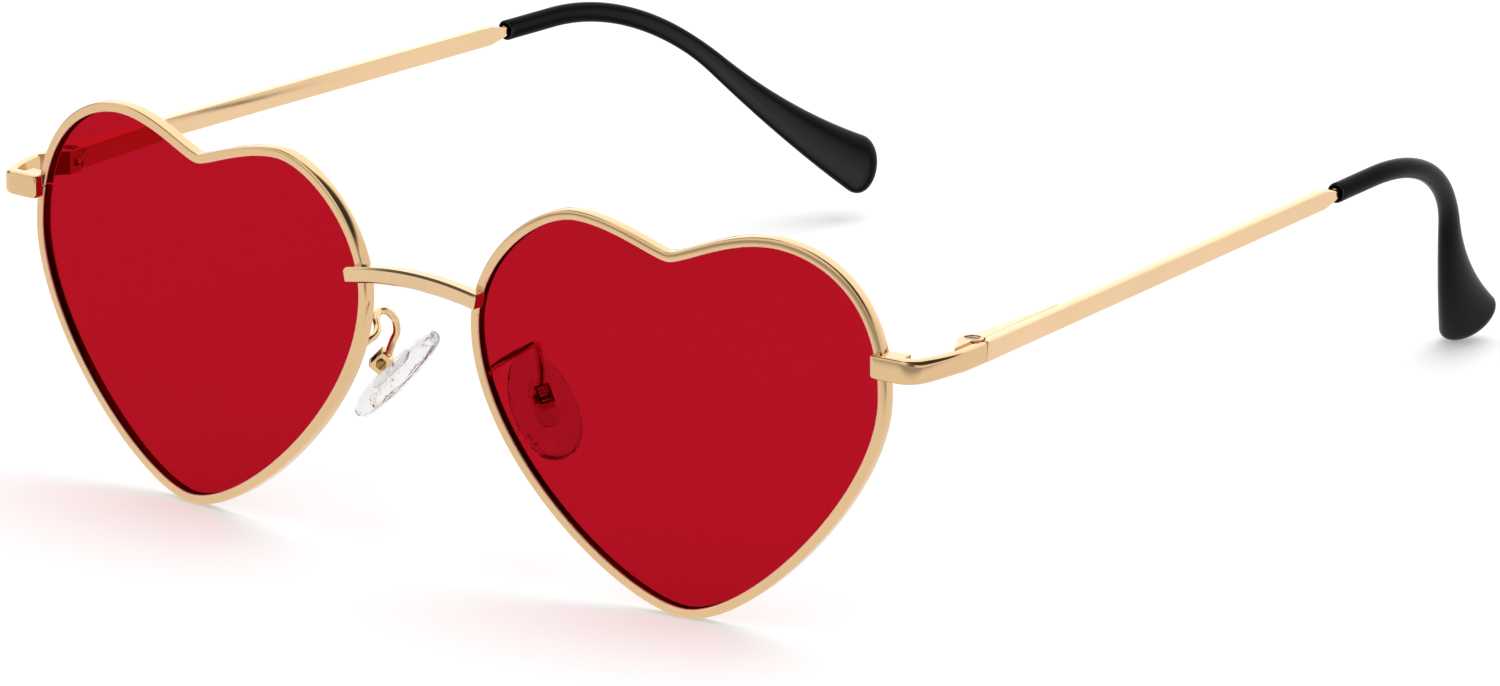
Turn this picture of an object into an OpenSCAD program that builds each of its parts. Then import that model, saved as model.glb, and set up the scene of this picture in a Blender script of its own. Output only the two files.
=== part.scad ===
// Heart shaped metal sunglasses with round wire adjustable nose pads, folding temples and
// black tip sleeves. X runs to the wearer's left, -Y to the front and Z up; the glasses stand
// open on the low points of both rims and both tips. Millimetres.

/* [Lenses] */
// Width of each heart shaped rim opening
lens_w = 52; // [47:0.5:57]
// Thickness of the lens
lens_t = 0.95; // [0.85:0.05:1.2]
// Radius of the lens's front curve
lens_curve_r = 265; // [180:5:600]
// Angle at which each lens wraps back round the face
face_wrap = 6; // [3:0.5:9]

/* [Rims] */
// Distance between the two rim openings at the nose
nose_gap = 17.7; // [16:0.1:21]
// Width of the rim seen from the front
rim_w = 1.15; // [1:0.05:1.6]
// Lip of the rim in front of the lens
rim_front_lip = 0.25; // [0.25:0.05:0.5]
// Lip of the rim behind the lens
rim_rear_lip = 0.25; // [0.25:0.05:0.5]
// Depth of the groove that holds the lens
groove_d = 0.5; // [0.35:0.05:0.6]

/* [Bridge] */
// Height of the bridge bar
bridge_h = 1.9; // [1.4:0.1:2.6]
// Depth of the bridge bar from front to back
bridge_d = 1.7; // [1.3:0.1:2.4]
// Rise of the bridge's arch
bridge_rise = 1; // [0.6:0.1:2]
// Length by which the bridge laps over each rim opening
bridge_lap = 0.6; // [0.2:0.1:1]

/* [End pieces] */
// Thickness of the end piece strap
strap_t = 1.4; // [1.35:0.05:1.8]
// Height of the strap along the arm
strap_h = 2.4; // [2.2:0.1:3]
// Height of the plate in front of the rim
plate_h = 2.75; // [2.6:0.05:3.4]
// Length by which the plate laps over the rim opening
plate_lap = 0.3; // [0.2:0.05:1]
// Outer radius of the strap's corner
corner_r = 2.6; // [2.3:0.1:3]
// Outer radius of the strap's shoulder behind its corner
shoulder_r = 16; // [12:0.5:20]
// Turn of the strap over its shoulder
shoulder_turn = 28; // [22:1:30]
// Length of the strap from its front face to the hinge
strap_reach = 12.4; // [11.5:0.1:15]

/* [Rim locks] */
// Height of the closed rim lock
lock_h = 2.3; // [2.2:0.1:2.8]
// Length of the rim lock outward from the rim
lock_len = 2.1; // [2:0.1:2.6]
// Slit between the two halves of the lock
lock_slit = 0.2; // [0.15:0.05:0.3]
// Radius of the lock screw's shank
lock_screw_r = 0.45; // [0.35:0.05:0.5]

/* [Hinges] */
// Distance from the rim's outer side to the hinge axis
hinge_out = 3.65; // [3.4:0.05:5]
// Distance from the temple's outer face to the hinge axis
hinge_inset = 2.05; // [2:0.05:2.4]
// Radius of the hinge knuckles
knuckle_r = 1.3; // [1.2:0.05:1.4]
// Height of the three knuckles together
hinge_h = 2.8; // [2.6:0.1:3.4]
// Radius of the hinge screw's shank
hinge_screw_r = 0.5; // [0.4:0.05:0.6]
// Length of the hinge's tapered rear leaf
leaf_len = 17; // [12:0.5:22]

/* [Temples] */
// Thickness of the temple strip
strip_t = 1.25; // [1.2:0.05:1.3]
// Height of the temple strip
strip_h = 2.45; // [2.2:0.05:2.8]
// Length of the bare strip from the hinge axis to the tip sleeve
strip_len = 77.7; // [70:0.1:84]
// Angle at which each open temple closes in towards the head
temple_in = 3.9; // [2:0.1:5]
// Radius of the wire core inside the tip sleeve
core_r = 0.6; // [0.5:0.05:0.6]

/* [Tips] */
// Straight stretch of the sleeve before its bend
tip_straight = 8.8; // [6:0.1:11]
// Radius of the bend behind the ear
bend_r = 35.8; // [32:0.2:40]
// Angle of the left tip's bend behind the ear
bend_angle_left = 52.7; // [50:0.1:56]
// Angle of the right tip's bend behind the ear
bend_angle_right = 47.4; // [44:0.1:50]
// Angle at which each sleeve's end turns back up
tail_angle = 13; // [6:1:16]
// Lean of the bent part towards the head
hook_lean = 22.4; // [16:0.1:26]
// Twist of the left tip's broad end
twist_angle_left = 20; // [0:1:25]
// Twist of the right tip's broad end
twist_angle_right = 0; // [0:1:25]
// Half height of the sleeve at its mouth
sleeve_hh = 1.25; // [1.2:0.05:1.5]
// Half thickness of the sleeve at its mouth
sleeve_ht = 1.15; // [1.1:0.05:1.3]
// Half height of the sleeve at its broad end
paddle_hh = 4; // [3:0.1:4.4]
// Half thickness of the sleeve at its broad end
paddle_ht = 2.3; // [1.6:0.1:2.6]

/* [Nose pads] */
// Distance between the middles of the two pads
pad_spacing = 21.2; // [20:0.1:22.5]
// Distance of the pads behind the nose side of the rims
pad_back = 9.5; // [8.5:0.1:11]
// Length of a pad
pad_len = 13.7; // [12:0.1:15]
// Width of a pad
pad_w = 7.5; // [6:0.1:8.5]
// Thickness of a pad
pad_t = 2.4; // [2.2:0.1:2.8]
// Angle of the pads from upright, seen from the front
pad_cant = 44; // [35:1:46]
// Angle of the pads from straight back, seen from above
pad_splay = 25; // [15:1:30]
// Roll of the pads about their own length
pad_roll = 17; // [8:1:20]
// Radius of the pad arm's wire
arm_wire_r = 0.45; // [0.35:0.05:0.5]
// Rise of the arm's loop above its foot
arm_rise = 2.4; // [2:0.1:3]

/* [Hidden] */

left = 1;
right = -1;
gold = [0.91, 0.79, 0.62];
bright_gold = [0.95, 0.84, 0.66];
lens_red = [0.69, 0.07, 0.13, 0.8];
pad_clear = [0.9, 0.92, 0.93, 0.6];
insert_clear = [0.8, 0.84, 0.86];
tip_black = [0.09, 0.09, 0.09];

// Clearances
lens_fit = 0.03;
shaft_fit = 0.05;
slide_fit = 0.06;
swing_fit = 0.15;
overrun = 1;

// Heart outline: extreme points as shares of the opening's width, measured from the middle of
// its width and from its bottom, with the way the outline runs there and its two handles.
// Each row is [across, up, run across, run up, handle in, handle out].
heart_shares = [
    [0.025, 0, 1, 0, 0.155, 0.15],
    [0.5, 0.54, 0, 1, 0.22, 0.23],
    [0.235, 0.837, -1, 0, 0.105, 0.107],
    [-0.013, 0.772, -1, 0, 0.038, 0.034],
    [-0.25, 0.827, -1, 0, 0.097, 0.097],
    [-0.5, 0.558, 0, -1, 0.148, 0.265]
];
heart_steps = 11;
heart_top_share = 0.837;
// Height on the heart of the end piece and of the pad arm's foot
strap_level_share = 0.621;
arm_level_share = 0.44;
pad_level_share = 0.336;
arm_across_share = 0.48;

lens_h = lens_w * heart_top_share;
lens_mid = lens_h / 2;
rim_d = rim_front_lip + lens_t + 2 * lens_fit + rim_rear_lip;
// The lens plane's middle
lens_cx = nose_gap / 2 + lens_w / 2 * cos(face_wrap);
lens_cy = -lens_w / 2 * sin(face_wrap);
// Fall of the front curve at the opening's sides
side_sag = lens_curve_r - sqrt(pow(lens_curve_r, 2) - pow(lens_w / 2, 2));
rim_reach = lens_w / 2 + rim_w;
rim_side_x = lens_cx + rim_reach * cos(face_wrap);
nose_x = nose_gap / 2;
nose_y = lens_cy - lens_w / 2 * sin(face_wrap) + side_sag;
// A margin in front of and behind the rim that holds every cut
cut_front = 1;
cut_back = rim_d + 2 * side_sag + overrun;
curve_facets = 360;

strap_v = lens_w * strap_level_share;
strap_z = strap_v + rim_w;
bridge_level_share = 0.612;
bridge_corner_r = 0.45;
sag_share = 0.54;
bridge_z = rim_w + lens_w * bridge_level_share;

hinge_x = rim_side_x + hinge_out;
hinge_y = lens_cy + lens_w / 2 * sin(face_wrap) + strap_reach;
seam_y = 0;
seam_gap = 0.1;
strip_x = hinge_inset - strip_t;
core_x = hinge_inset - strip_t / 2;
edge_bevel = 0.25;

// Knuckles: two on the front leaf, one between them on the rear leaf
knuckle_h = (hinge_h - 2 * slide_fit) / 3;
hinge_head_r = 0.9;
hinge_head_t = 0.4;
screw_slot_w = 0.28;
screw_slot_d = 0.18;
web_len = 4.8;
leaf_root_t = 1.5;

// Lock screw
lock_head_r = 0.8;
lock_head_t = 0.35;
lock_screw_out = 1.15;
lock_proud = 0.4;
lock_wall = 0.35;

// Hook: the bent part lies in a plane that leans towards the head. The left tip's tail is as
// long as it has to be to stand on the table, and the right tip's is the same.
bend_y = strip_len + tip_straight;
paddle_end = 0.72 * paddle_hh;
end_angle = bend_angle_left - tail_angle;
foot_fall = cos(end_angle) * cos(hook_lean);
foot_tall = cos(twist_angle_left) * foot_fall - sin(twist_angle_left) * sin(hook_lean);
foot_thick = sin(twist_angle_left) * foot_fall + cos(twist_angle_left) * sin(hook_lean);
foot_across = norm([paddle_hh * foot_tall, paddle_ht * foot_thick]);
foot_along = paddle_end * sin(end_angle) * cos(hook_lean);
foot = shaft_fit + max([for (u = [0:0.02:1]) foot_across * cap_share(u) + foot_along * u]);
hook_drop = (strap_z - foot) / cos(hook_lean);
tail_chord = (hook_drop - bend_r * (1 - cos(bend_angle_left))) / sin(bend_angle_left - tail_angle / 2);
tail_r = tail_chord / (2 * sin(tail_angle / 2));
tail_len = tail_r * tail_angle * PI / 180;
core_tail_share = 0.5;
sleeve_sides = 20;
sleeve_rings = 26;
sleeve_grow_share = 0.82;
sleeve_grow_power = 1.6;
bore_rings = 12;
bore_fit = 0.1;
mouth_round = 0.2;
mouth_r = 0.98;
mouth_depth = 1.3;
core_sink = 1;
strip_taper = 3;
strip_end_share = 0.94;
strip_nose_share = 0.42;
joint_share = 1.04;

// Pads
pad_pos = [pad_spacing / 2, nose_y + pad_back, rim_w + pad_level_share * lens_w];
insert_t = 0.55;
insert_len = 6;
insert_w = 2.6;
insert_depth = 0.85;
lug_w = 1.05;
lug_len = 1.25;
box_wall = 0.3;
box_w = lug_w + 2 * slide_fit + 2 * box_wall;
box_len = 2.4;
box_depth = 1.7;
box_gap = 0.4;
box_pos = pad_t / 2 + box_gap + box_depth / 2;
pad_screw_r = 0.35;
pad_head_r = 0.6;
pad_head_t = 0.35;
pad_sides = 20;
pad_rings = 14;

// Arm: points between its foot on the rim and the pad box, each as shares of the way across,
// back and down to the box, and of the loop's rise
arm_shares = [
    [0, 0, 0, 0], [-0.2, 0.18, 0, 0.22], [-0.16, 0.36, 0, 0.36], [0.12, 0.5, 0, 0.56],
    [0.65, 0.62, 0, 0.84], [0.98, 0.78, 0, 1.04], [0.84, 0.93, 0, 0.98], [0.64, 1.06, 0, 0.5],
    [0.64, 1.1, 0.1, 0], [0.86, 1.07, 0.5, 0], [1, 1, 1, 0]
];
arm_steps = 4;
arm_sides = 12;

bridge_seat = 0.25;

// Helpers for points and closed skins
function cap_share(u) = sqrt(max(1 - pow(u, 2.4), 0));
function bezier(a, b, c, d, t) =
    pow(1 - t, 3) * a + 3 * pow(1 - t, 2) * t * b + 3 * (1 - t) * t * t * c + pow(t, 3) * d;
function arc(c, r, a0, a1, steps) =
    [for (i = [0:steps]) let(a = a0 + (a1 - a0) * i / steps) c + r * [cos(a), sin(a)]];
function spline(p, i, t) =
    let(n = len(p) - 1, a = p[max(i - 1, 0)], b = p[i], c = p[i + 1], d = p[min(i + 2, n)])
    0.5 * (2 * b + (c - a) * t + (2 * a - 5 * b + 4 * c - d) * t * t
        + (3 * b - a - 3 * c + d) * pow(t, 3));
function smooth(t) = let(u = min(max(t, 0), 1)) u * u * (3 - 2 * u);
function unit(v) = v / norm(v);

heart_points = [
    for (i = [0:5])
        let(
            from = heart_shares[i], to = heart_shares[(i + 1) % 6],
            a = [from[0], from[1]], d = [to[0], to[1]],
            b = a + from[5] * [from[2], from[3]], c = d - to[4] * [to[2], to[3]]
        )
        for (k = [0:heart_steps - 1]) lens_w * bezier(a, b, c, d, k / heart_steps)
];

// A solid whose skin runs through rings of points, closed flat at both ends
module skin(rings) {
    n = len(rings[0]);
    last = len(rings) - 1;
    points = [for (r = rings) for (p = r) p];
    sides = [
        for (k = [0:last - 1]) for (i = [0:n - 1])
            let(j = (i + 1) % n, a = k * n + i, b = k * n + j)
            each [[a, b, b + n], [a, b + n, a + n]]
    ];
    ends = [[for (i = [n - 1:-1:0]) i], [for (i = [0:n - 1]) last * n + i]];
    polyhedron(points = points, faces = concat(sides, ends), convexity = 6);
}

module placed(side) {
    translate([0, -mid_y, 0])
        if (side == left) children();
        else mirror([1, 0, 0]) children();
}

module heart(grow) {
    offset(delta = grow) polygon(heart_points);
}

// Lens frame: X outward along the lens, Y up from the opening's bottom, Z to the front
module on_lens() {
    translate([lens_cx, lens_cy, rim_w]) rotate([0, 0, face_wrap]) rotate([90, 0, 0]) children();
}

module curve_ball(depth) {
    translate([0, lens_mid, -lens_curve_r]) sphere(r = lens_curve_r - depth, $fn = curve_facets);
}

module heart_column(grow) {
    translate([0, 0, -cut_back]) linear_extrude(cut_back + cut_front) heart(grow);
}

// The heart between two depths under the front curve
module heart_shell(grow, front, back) {
    difference() {
        intersection() {
            heart_column(grow);
            curve_ball(front);
        }
        curve_ball(back);
    }
}

module rim_shape() {
    heart_shell(rim_w, 0, rim_d);
}

module rim(side) {
    color(gold) placed(side) on_lens() difference() {
        rim_shape();
        heart_column(0);
        heart_shell(groove_d, rim_front_lip, rim_d - rim_rear_lip);
        translate([lens_w / 4, strap_v - lock_slit / 2, -cut_back])
            cube([lens_w / 2, lock_slit, cut_back + cut_front]);
    }
}

module lens(side) {
    color(lens_red) placed(side) on_lens()
        heart_shell(groove_d - lens_fit, rim_front_lip + lens_fit, rim_d - rim_rear_lip - lens_fit);
}

// Bridge: an arched bar with bevelled edges and rounded ends, seated on both rims' front faces
module bridge() {
    half = nose_x + bridge_lap;
    r = (pow(half, 2) + pow(bridge_rise, 2)) / (2 * bridge_rise);
    sweep = asin(half / r);
    bevel = bridge_d / 6;
    color(gold) translate([0, -mid_y, 0]) difference() {
        translate([0, front_y + bridge_d / 2, bridge_z + bridge_rise - r]) rotate([90, 0, 0])
            intersection() {
                rotate([0, 0, 90 - sweep]) rotate_extrude(angle = 2 * sweep, $fn = 180)
                    translate([r, 0]) polygon([
                        [-bridge_h / 2, -bridge_d / 2], [bridge_h / 2 - bevel / 2, -bridge_d / 2],
                        [bridge_h / 2, bevel / 2 - bridge_d / 2], [bridge_h / 2, bridge_d / 2 - bevel],
                        [bridge_h / 2 - bevel, bridge_d / 2], [bevel - bridge_h / 2, bridge_d / 2],
                        [-bridge_h / 2, bridge_d / 2 - bevel]
                    ]);
                bridge_outline(r, sweep);
            }
        for (side = [left, right]) placed_rim_cut(side);
    }
}

module placed_rim_cut(side) {
    if (side == left) on_lens() rim_shape();
    else mirror([1, 0, 0]) on_lens() rim_shape();
}

// Front view of the bridge with the corners of its ends rounded
module bridge_outline(r, sweep) {
    side_r = bridge_h / 2 - bridge_corner_r;
    inner = sweep - asin(bridge_corner_r / r);
    translate([0, 0, -bridge_d]) linear_extrude(2 * bridge_d) union() {
        polygon(concat(
            arc([0, 0], r + bridge_h, 90 - inner, 90 + inner, 12),
            arc([0, 0], r - bridge_h, 90 + inner, 90 - inner, 12)
        ));
        for (a = [90 - inner, 90 + inner]) rotate([0, 0, a]) {
            for (d = [-side_r, side_r]) translate([r + d, 0]) circle(r = bridge_corner_r, $fn = 32);
            translate([r, 0]) square([2 * side_r, 2 * bridge_corner_r], center = true);
        }
    }
}

// End piece: a strap lying on the rim's front, bent round the corner and back to the hinge
plate_front = [sin(face_wrap), -cos(face_wrap)];
arm_side = [cos(temple_in), sin(temple_in)];
arm_back = [-sin(temple_in), cos(temple_in)];
plate_end = [lens_cx, lens_cy] + (lens_w / 2 - plate_lap) * [cos(face_wrap), sin(face_wrap)];
seam_out = [hinge_x, hinge_y] + hinge_inset * arm_side + (seam_y - seam_gap) * arm_back;
// Middles of the shoulder and of the corner, so that both lie inside the arm's outer side and
// the plate's front, and meet where the strap has turned over its shoulder
turned = [cos(temple_in - shoulder_turn), sin(temple_in - shoulder_turn)];
corner_way = (shoulder_r - corner_r) * turned;
shoulder = let(
        a = plate_front * (plate_end - corner_way) - corner_r,
        b = arm_side * seam_out - shoulder_r,
        d = plate_front[0] * arm_side[1] - plate_front[1] * arm_side[0]
    )
    [(a * arm_side[1] - b * plate_front[1]) / d, (b * plate_front[0] - a * arm_side[0]) / d];
corner = shoulder + corner_way;
corner_steps = 9;

module strap_plan() {
    a0 = face_wrap - 90;
    a1 = temple_in - shoulder_turn;
    polygon(concat(
        [plate_end], arc(corner, corner_r, a0, a1, corner_steps),
        arc(shoulder, shoulder_r, a1, temple_in, corner_steps),
        [seam_out, seam_out - strap_t * arm_side],
        arc(shoulder, shoulder_r - strap_t, temple_in, a1, corner_steps),
        arc(corner, corner_r - strap_t, a1, a0, corner_steps),
        [plate_end - strap_t * plate_front]
    ));
}

// Front view of the strap: the plate is taller over the rim, with its free end's corners cut
module strap_front() {
    cut = plate_h / 8;
    x0 = plate_end[0];
    x1 = corner[0];
    x2 = hinge_x + hinge_inset + overrun;
    mid_h = (plate_h + strap_h) / 2;
    upper = [
        [x0 - overrun, plate_h / 2], [x1, mid_h / 2], [x1 + corner_r, strap_h / 2], [x2, strap_h / 2]
    ];
    lower = [
        [x2, -strap_h / 2], [x1 + corner_r, -plate_h * sag_share],
        [x1, -plate_h * sag_share], [x0 + cut, -plate_h / 2],
        [x0, cut - plate_h / 2], [x0 - overrun, cut - plate_h / 2]
    ];
    polygon(concat(upper, lower));
}

module strap() {
    intersection() {
        translate([0, 0, strap_z - plate_h / 2]) linear_extrude(plate_h) strap_plan();
        translate([0, hinge_y + strap_reach, strap_z]) rotate([90, 0, 0])
            linear_extrude(3 * strap_reach) strap_front();
    }
}

// The strap with room for the knuckles
module strap_seat() {
    difference() {
        strap();
        at_hinge() {
            cylinder(r = knuckle_r, h = 2 * hinge_h, center = true, $fn = 64);
            cylinder(r = knuckle_r + swing_fit, h = knuckle_h + 2 * slide_fit, center = true, $fn = 64);
        }
    }
}

module end_piece(side) {
    color(bright_gold) placed(side) difference() {
        strap_seat();
        on_lens() rim_shape();
    }
}

// Rim lock: two blocks on the rim's ends, drawn together by a screw from below
lock_x0 = lens_w / 2 + rim_w / 2;
lock_x1 = rim_reach + lock_len;
lock_front = -strap_t / 2;
lock_back = -side_sag - rim_d - lock_proud;
lock_screw_x = rim_reach + lock_screw_out;
lock_screw_z = (lock_back - strap_t) / 2;

module on_lock() {
    on_lens() translate([0, strap_v, 0]) children();
}

// Glasses' frame seen from the lock's
module off_lock() {
    translate([0, -strap_v, 0]) rotate([-90, 0, 0]) rotate([0, 0, -face_wrap])
        translate([-lens_cx, -lens_cy, -rim_w]) children();
}

module lock_block(low, high) {
    difference() {
        translate([lock_x0, low, lock_back])
            cube([lock_x1 - lock_x0, high - low, lock_front - lock_back]);
        translate([0, -strap_v, 0]) rim_shape();
        translate([0, -strap_v, 0]) heart_column(0);
        off_lock() strap();
    }
}

module lock_axis() {
    translate([lock_screw_x, 0, lock_screw_z]) rotate([-90, 0, 0]) children();
}

module rim_lock_upper(side) {
    color(gold) placed(side) on_lock() difference() {
        lock_block(lock_slit / 2, lock_h / 2);
        lock_axis() translate([0, 0, -lock_h])
            cylinder(r = lock_screw_r + shaft_fit, h = lock_h + lock_h / 2 - lock_wall, $fn = 48);
    }
}

module rim_lock_lower(side) {
    color(gold) placed(side) on_lock() difference() {
        lock_block(-lock_h / 2, -lock_slit / 2);
        lock_axis() cylinder(r = lock_screw_r + shaft_fit, h = 2 * lock_h, center = true, $fn = 48);
    }
}

module rim_lock_screw(side) {
    color(bright_gold) placed(side) on_lock() lock_axis() difference() {
        union() {
            translate([0, 0, -lock_h / 2])
                cylinder(r = lock_screw_r, h = lock_h - lock_wall - shaft_fit, $fn = 48);
            translate([0, 0, -lock_h / 2 - lock_head_t])
                cylinder(r = lock_head_r, h = lock_head_t, $fn = 48);
        }
        translate([0, 0, -lock_h / 2 - lock_head_t])
            cube([2 * lock_head_r + overrun, screw_slot_w, 2 * screw_slot_d], center = true);
    }
}

// Hinge frame: origin on the hinge axis, Y along the temple, X outward
module at_hinge() {
    translate([hinge_x, hinge_y, strap_z]) rotate([0, 0, temple_in]) children();
}

module hinge_bore() {
    cylinder(r = hinge_screw_r + shaft_fit, h = 2 * hinge_h, center = true, $fn = 48);
}

module hinge_web() {
    web_x = strip_x - strap_t + strip_t;
    translate([0, 0, -hinge_h / 2]) linear_extrude(hinge_h) polygon([
        [web_x, -knuckle_r / 2], [0, 0], [-knuckle_r, 0], [-knuckle_r * 0.92, -knuckle_r],
        [-knuckle_r * 0.2, -web_len * 0.55], [web_x, -web_len]
    ]);
}

module hinge_front(side) {
    color(gold) placed(side) difference() {
        at_hinge() difference() {
            union() {
                cylinder(r = knuckle_r, h = hinge_h, center = true, $fn = 64);
                hinge_web();
            }
            cylinder(r = knuckle_r + swing_fit, h = knuckle_h + 2 * slide_fit, center = true, $fn = 64);
            hinge_bore();
            translate([0, 0, hinge_h / 2 - hinge_head_t])
                cylinder(r = hinge_head_r + shaft_fit, h = hinge_h, $fn = 48);
        }
        strap_seat();
    }
}

// Rear leaf: the middle knuckle and a long wedge along the strip's inner side
module hinge_rear(side) {
    end_t = strip_t / 8;
    color(gold) placed(side) at_hinge() difference() {
        union() {
            cylinder(r = knuckle_r, h = knuckle_h, center = true, $fn = 64);
            translate([0, 0, -strip_h / 2]) linear_extrude(strip_h) polygon([
                [strip_x, seam_y], [strip_x, leaf_len],
                [strip_x - end_t, leaf_len], [strip_x - leaf_root_t, 2 * knuckle_r],
                [strip_x - leaf_root_t, 0]
            ]);
        }
        for (z = [-1, 1]) translate([0, 0, z * (knuckle_h / 2 + hinge_h)])
            cylinder(r = knuckle_r + swing_fit, h = 2 * hinge_h, center = true, $fn = 64);
        translate([strip_x, -2 * knuckle_r, -hinge_h]) cube([hinge_inset, 4 * knuckle_r, 2 * hinge_h]);
        hinge_bore();
    }
}

module hinge_screw(side) {
    head_z = hinge_h / 2 - hinge_head_t;
    color(bright_gold) placed(side) at_hinge() difference() {
        union() {
            translate([0, 0, -hinge_h / 2])
                cylinder(r = hinge_screw_r, h = hinge_h - hinge_head_t / 2, $fn = 48);
            translate([0, 0, head_z]) cylinder(r = hinge_head_r, h = hinge_head_t * 0.85, $fn = 48);
        }
        translate([0, 0, head_z + hinge_head_t * 0.85])
            cube([2 * hinge_head_r + overrun, screw_slot_w, 2 * screw_slot_d], center = true);
    }
}

// Temple: a flat strip that narrows into the round core of the tip
module strip_profile() {
    y0 = seam_y;
    y1 = strip_len - strip_taper;
    y2 = strip_len + core_sink;
    root = strip_h / 2;
    far = root * strip_end_share;
    nose = strip_h * strip_nose_share / 2;
    polygon([
        [y0 + edge_bevel, -root], [y0, edge_bevel - root], [y0, root - edge_bevel],
        [y0 + edge_bevel, root], [y1, far], [strip_len, nose], [y2, nose * 0.9],
        [y2, -nose * 0.9], [strip_len, -nose], [y1, -far]
    ]);
}

// Hook frame: origin where the bend starts, Y along the strip, Z away from the bend's middle
module at_hook() {
    translate([core_x, bend_y, 0]) rotate([0, hook_lean, 0]) children();
}

function from_hook(p) =
    let(
        u = core_x + p[0] * cos(hook_lean) + p[2] * sin(hook_lean), v = bend_y + p[1],
        w = p[2] * cos(hook_lean) - p[0] * sin(hook_lean)
    )
    [hinge_x + u * cos(temple_in) - v * sin(temple_in),
        hinge_y + u * sin(temple_in) + v * cos(temple_in), strap_z + w];

function bend_of(side) = side == left ? bend_angle_left : bend_angle_right;
function twist_of(side) = side == left ? twist_angle_left : twist_angle_right;
function arc_len(side) = bend_r * bend_of(side) * PI / 180;

module core(side) {
    bend = bend_of(side);
    tail_part = tail_angle * core_tail_share;
    arc_y = bend_r * sin(bend);
    arc_z = bend_r * (cos(bend) - 1);
    translate([0, strip_len - bend_y - core_sink, 0]) rotate([-90, 0, 0])
        cylinder(r = core_r, h = tip_straight + core_sink, $fn = 48);
    translate([0, 0, -bend_r]) rotate([0, -90, 0])
        rotate_extrude(angle = bend, $fn = 180) translate([bend_r, 0]) circle(core_r, $fn = 48);
    translate([0, arc_y + tail_r * sin(bend), arc_z + tail_r * cos(bend)])
        rotate([0, -90, 0]) rotate([0, 0, 180 + bend - tail_part])
        rotate_extrude(angle = tail_part, $fn = 360) translate([tail_r, 0]) circle(core_r, $fn = 48);
    for (p = [[0, 0, 0], [0, arc_y, arc_z]]) translate(p) sphere(r = core_r * joint_share, $fn = 48);
}

module temple(side) {
    color(bright_gold) placed(side) at_hinge() difference() {
        union() {
            translate([strip_x, 0, 0]) rotate([90, 0, 90]) linear_extrude(strip_t) strip_profile();
            at_hook() core(side);
        }
        cylinder(r = knuckle_r + swing_fit, h = 2 * hinge_h, center = true, $fn = 64);
    }
}

// Places along the tip's middle line, by distance from the start of the bend
function hook_angle(side, s) =
    let(a = arc_len(side), b = bend_of(side))
    s < 0 ? 0 : s < a ? s / bend_r * 180 / PI : b - (s - a) / tail_r * 180 / PI;
function hook_point(side, s) =
    let(a = hook_angle(side, s), b = bend_of(side))
    s < 0 ? [0, s, 0]
    : s < arc_len(side) ? bend_r * [0, sin(a), cos(a) - 1]
    : bend_r * [0, sin(b), cos(b) - 1] + tail_r * [0, sin(b) - sin(a), cos(b) - cos(a)];
function hook_ring(side, s, hh, ht, turn = 0) =
    let(
        a = hook_angle(side, s), p = hook_point(side, s), up = [0, sin(a), cos(a)],
        tall = cos(turn) * up + [sin(turn), 0, 0], thick = [cos(turn), 0, 0] - sin(turn) * up
    )
    [for (i = [0:sleeve_sides - 1]) let(t = -360 * i / sleeve_sides)
        p + ht * cos(t) * thick + hh * sin(t) * tall];

sleeve_start = strip_len + seam_gap * 2 - bend_y;
// The sleeve grows from the end of its bend to the broad end and closes in a half round
function body_end(side) = arc_len(side) + tail_len;
function sleeve_grow(side, s) =
    let(a = sleeve_grow_share * arc_len(side))
    pow(min(max((s - a) / (body_end(side) - a), 0), 1), sleeve_grow_power);
function sleeve_outer(side, s, shrink) =
    let(
        g = sleeve_grow(side, s), u = (s - body_end(side)) / paddle_end,
        c = u <= 0 ? 1 : cap_share(u)
    )
    hook_ring(side, s, (sleeve_hh + (paddle_hh - sleeve_hh) * g - shrink) * c,
        (sleeve_ht + (paddle_ht - sleeve_ht) * g - shrink) * c, twist_of(side) * g);
function sleeve_cap(side) =
    [for (a = [0:16:80]) sleeve_outer(side, body_end(side) + paddle_end * sin(a), 0)];

module temple_tip(side) {
    bore_r = core_r + bore_fit;
    bore_end = arc_len(side) + tail_len * core_tail_share + bore_r;
    first = sleeve_start + mouth_depth + mouth_r - bore_r;
    second = sleeve_start + mouth_round;
    bore = [
        for (k = [bore_rings:-1:0])
            hook_ring(side, first + (bore_end - first) * k / bore_rings, bore_r, bore_r)
    ];
    mouth = [
        for (s = [sleeve_start + mouth_depth, sleeve_start]) hook_ring(side, s, mouth_r, mouth_r)
    ];
    outer = [
        for (k = [0:sleeve_rings - 1])
            sleeve_outer(side, second + (body_end(side) - second) * k / sleeve_rings, 0)
    ];
    color(tip_black) placed(side) at_hinge() at_hook() skin(concat(
        bore, mouth, [sleeve_outer(side, sleeve_start, mouth_round / 2)], outer, sleeve_cap(side)
    ));
}

// Middle of the whole length, from the bridge's front to the end of the tips
front_y = nose_y - bridge_d + bridge_seat;
rear_y = max([
    for (side = [left, right]) for (ring = sleeve_cap(side)) for (p = ring) from_hook(p)[1]
]);
mid_y = (front_y + rear_y) / 2;

// Pad frame: origin in the pad's middle, X down along the pad, Z from the nose to the lens
module at_pad() {
    translate(pad_pos) rotate([0, 0, -pad_splay]) rotate([0, -pad_cant, 0]) rotate([0, 90, 0])
        rotate([pad_roll, 0, 0]) children();
}

function pad_frame(p) =
    let(
        r = [p[0], p[1] * cos(pad_roll) - p[2] * sin(pad_roll),
            p[1] * sin(pad_roll) + p[2] * cos(pad_roll)],
        q = [r[2], r[1], -r[0]],
        c = [q[0] * cos(pad_cant) - q[2] * sin(pad_cant), q[1],
            q[0] * sin(pad_cant) + q[2] * cos(pad_cant)]
    )
    pad_pos + [c[0] * cos(pad_splay) + c[1] * sin(pad_splay),
        c[1] * cos(pad_splay) - c[0] * sin(pad_splay), c[2]];

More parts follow.
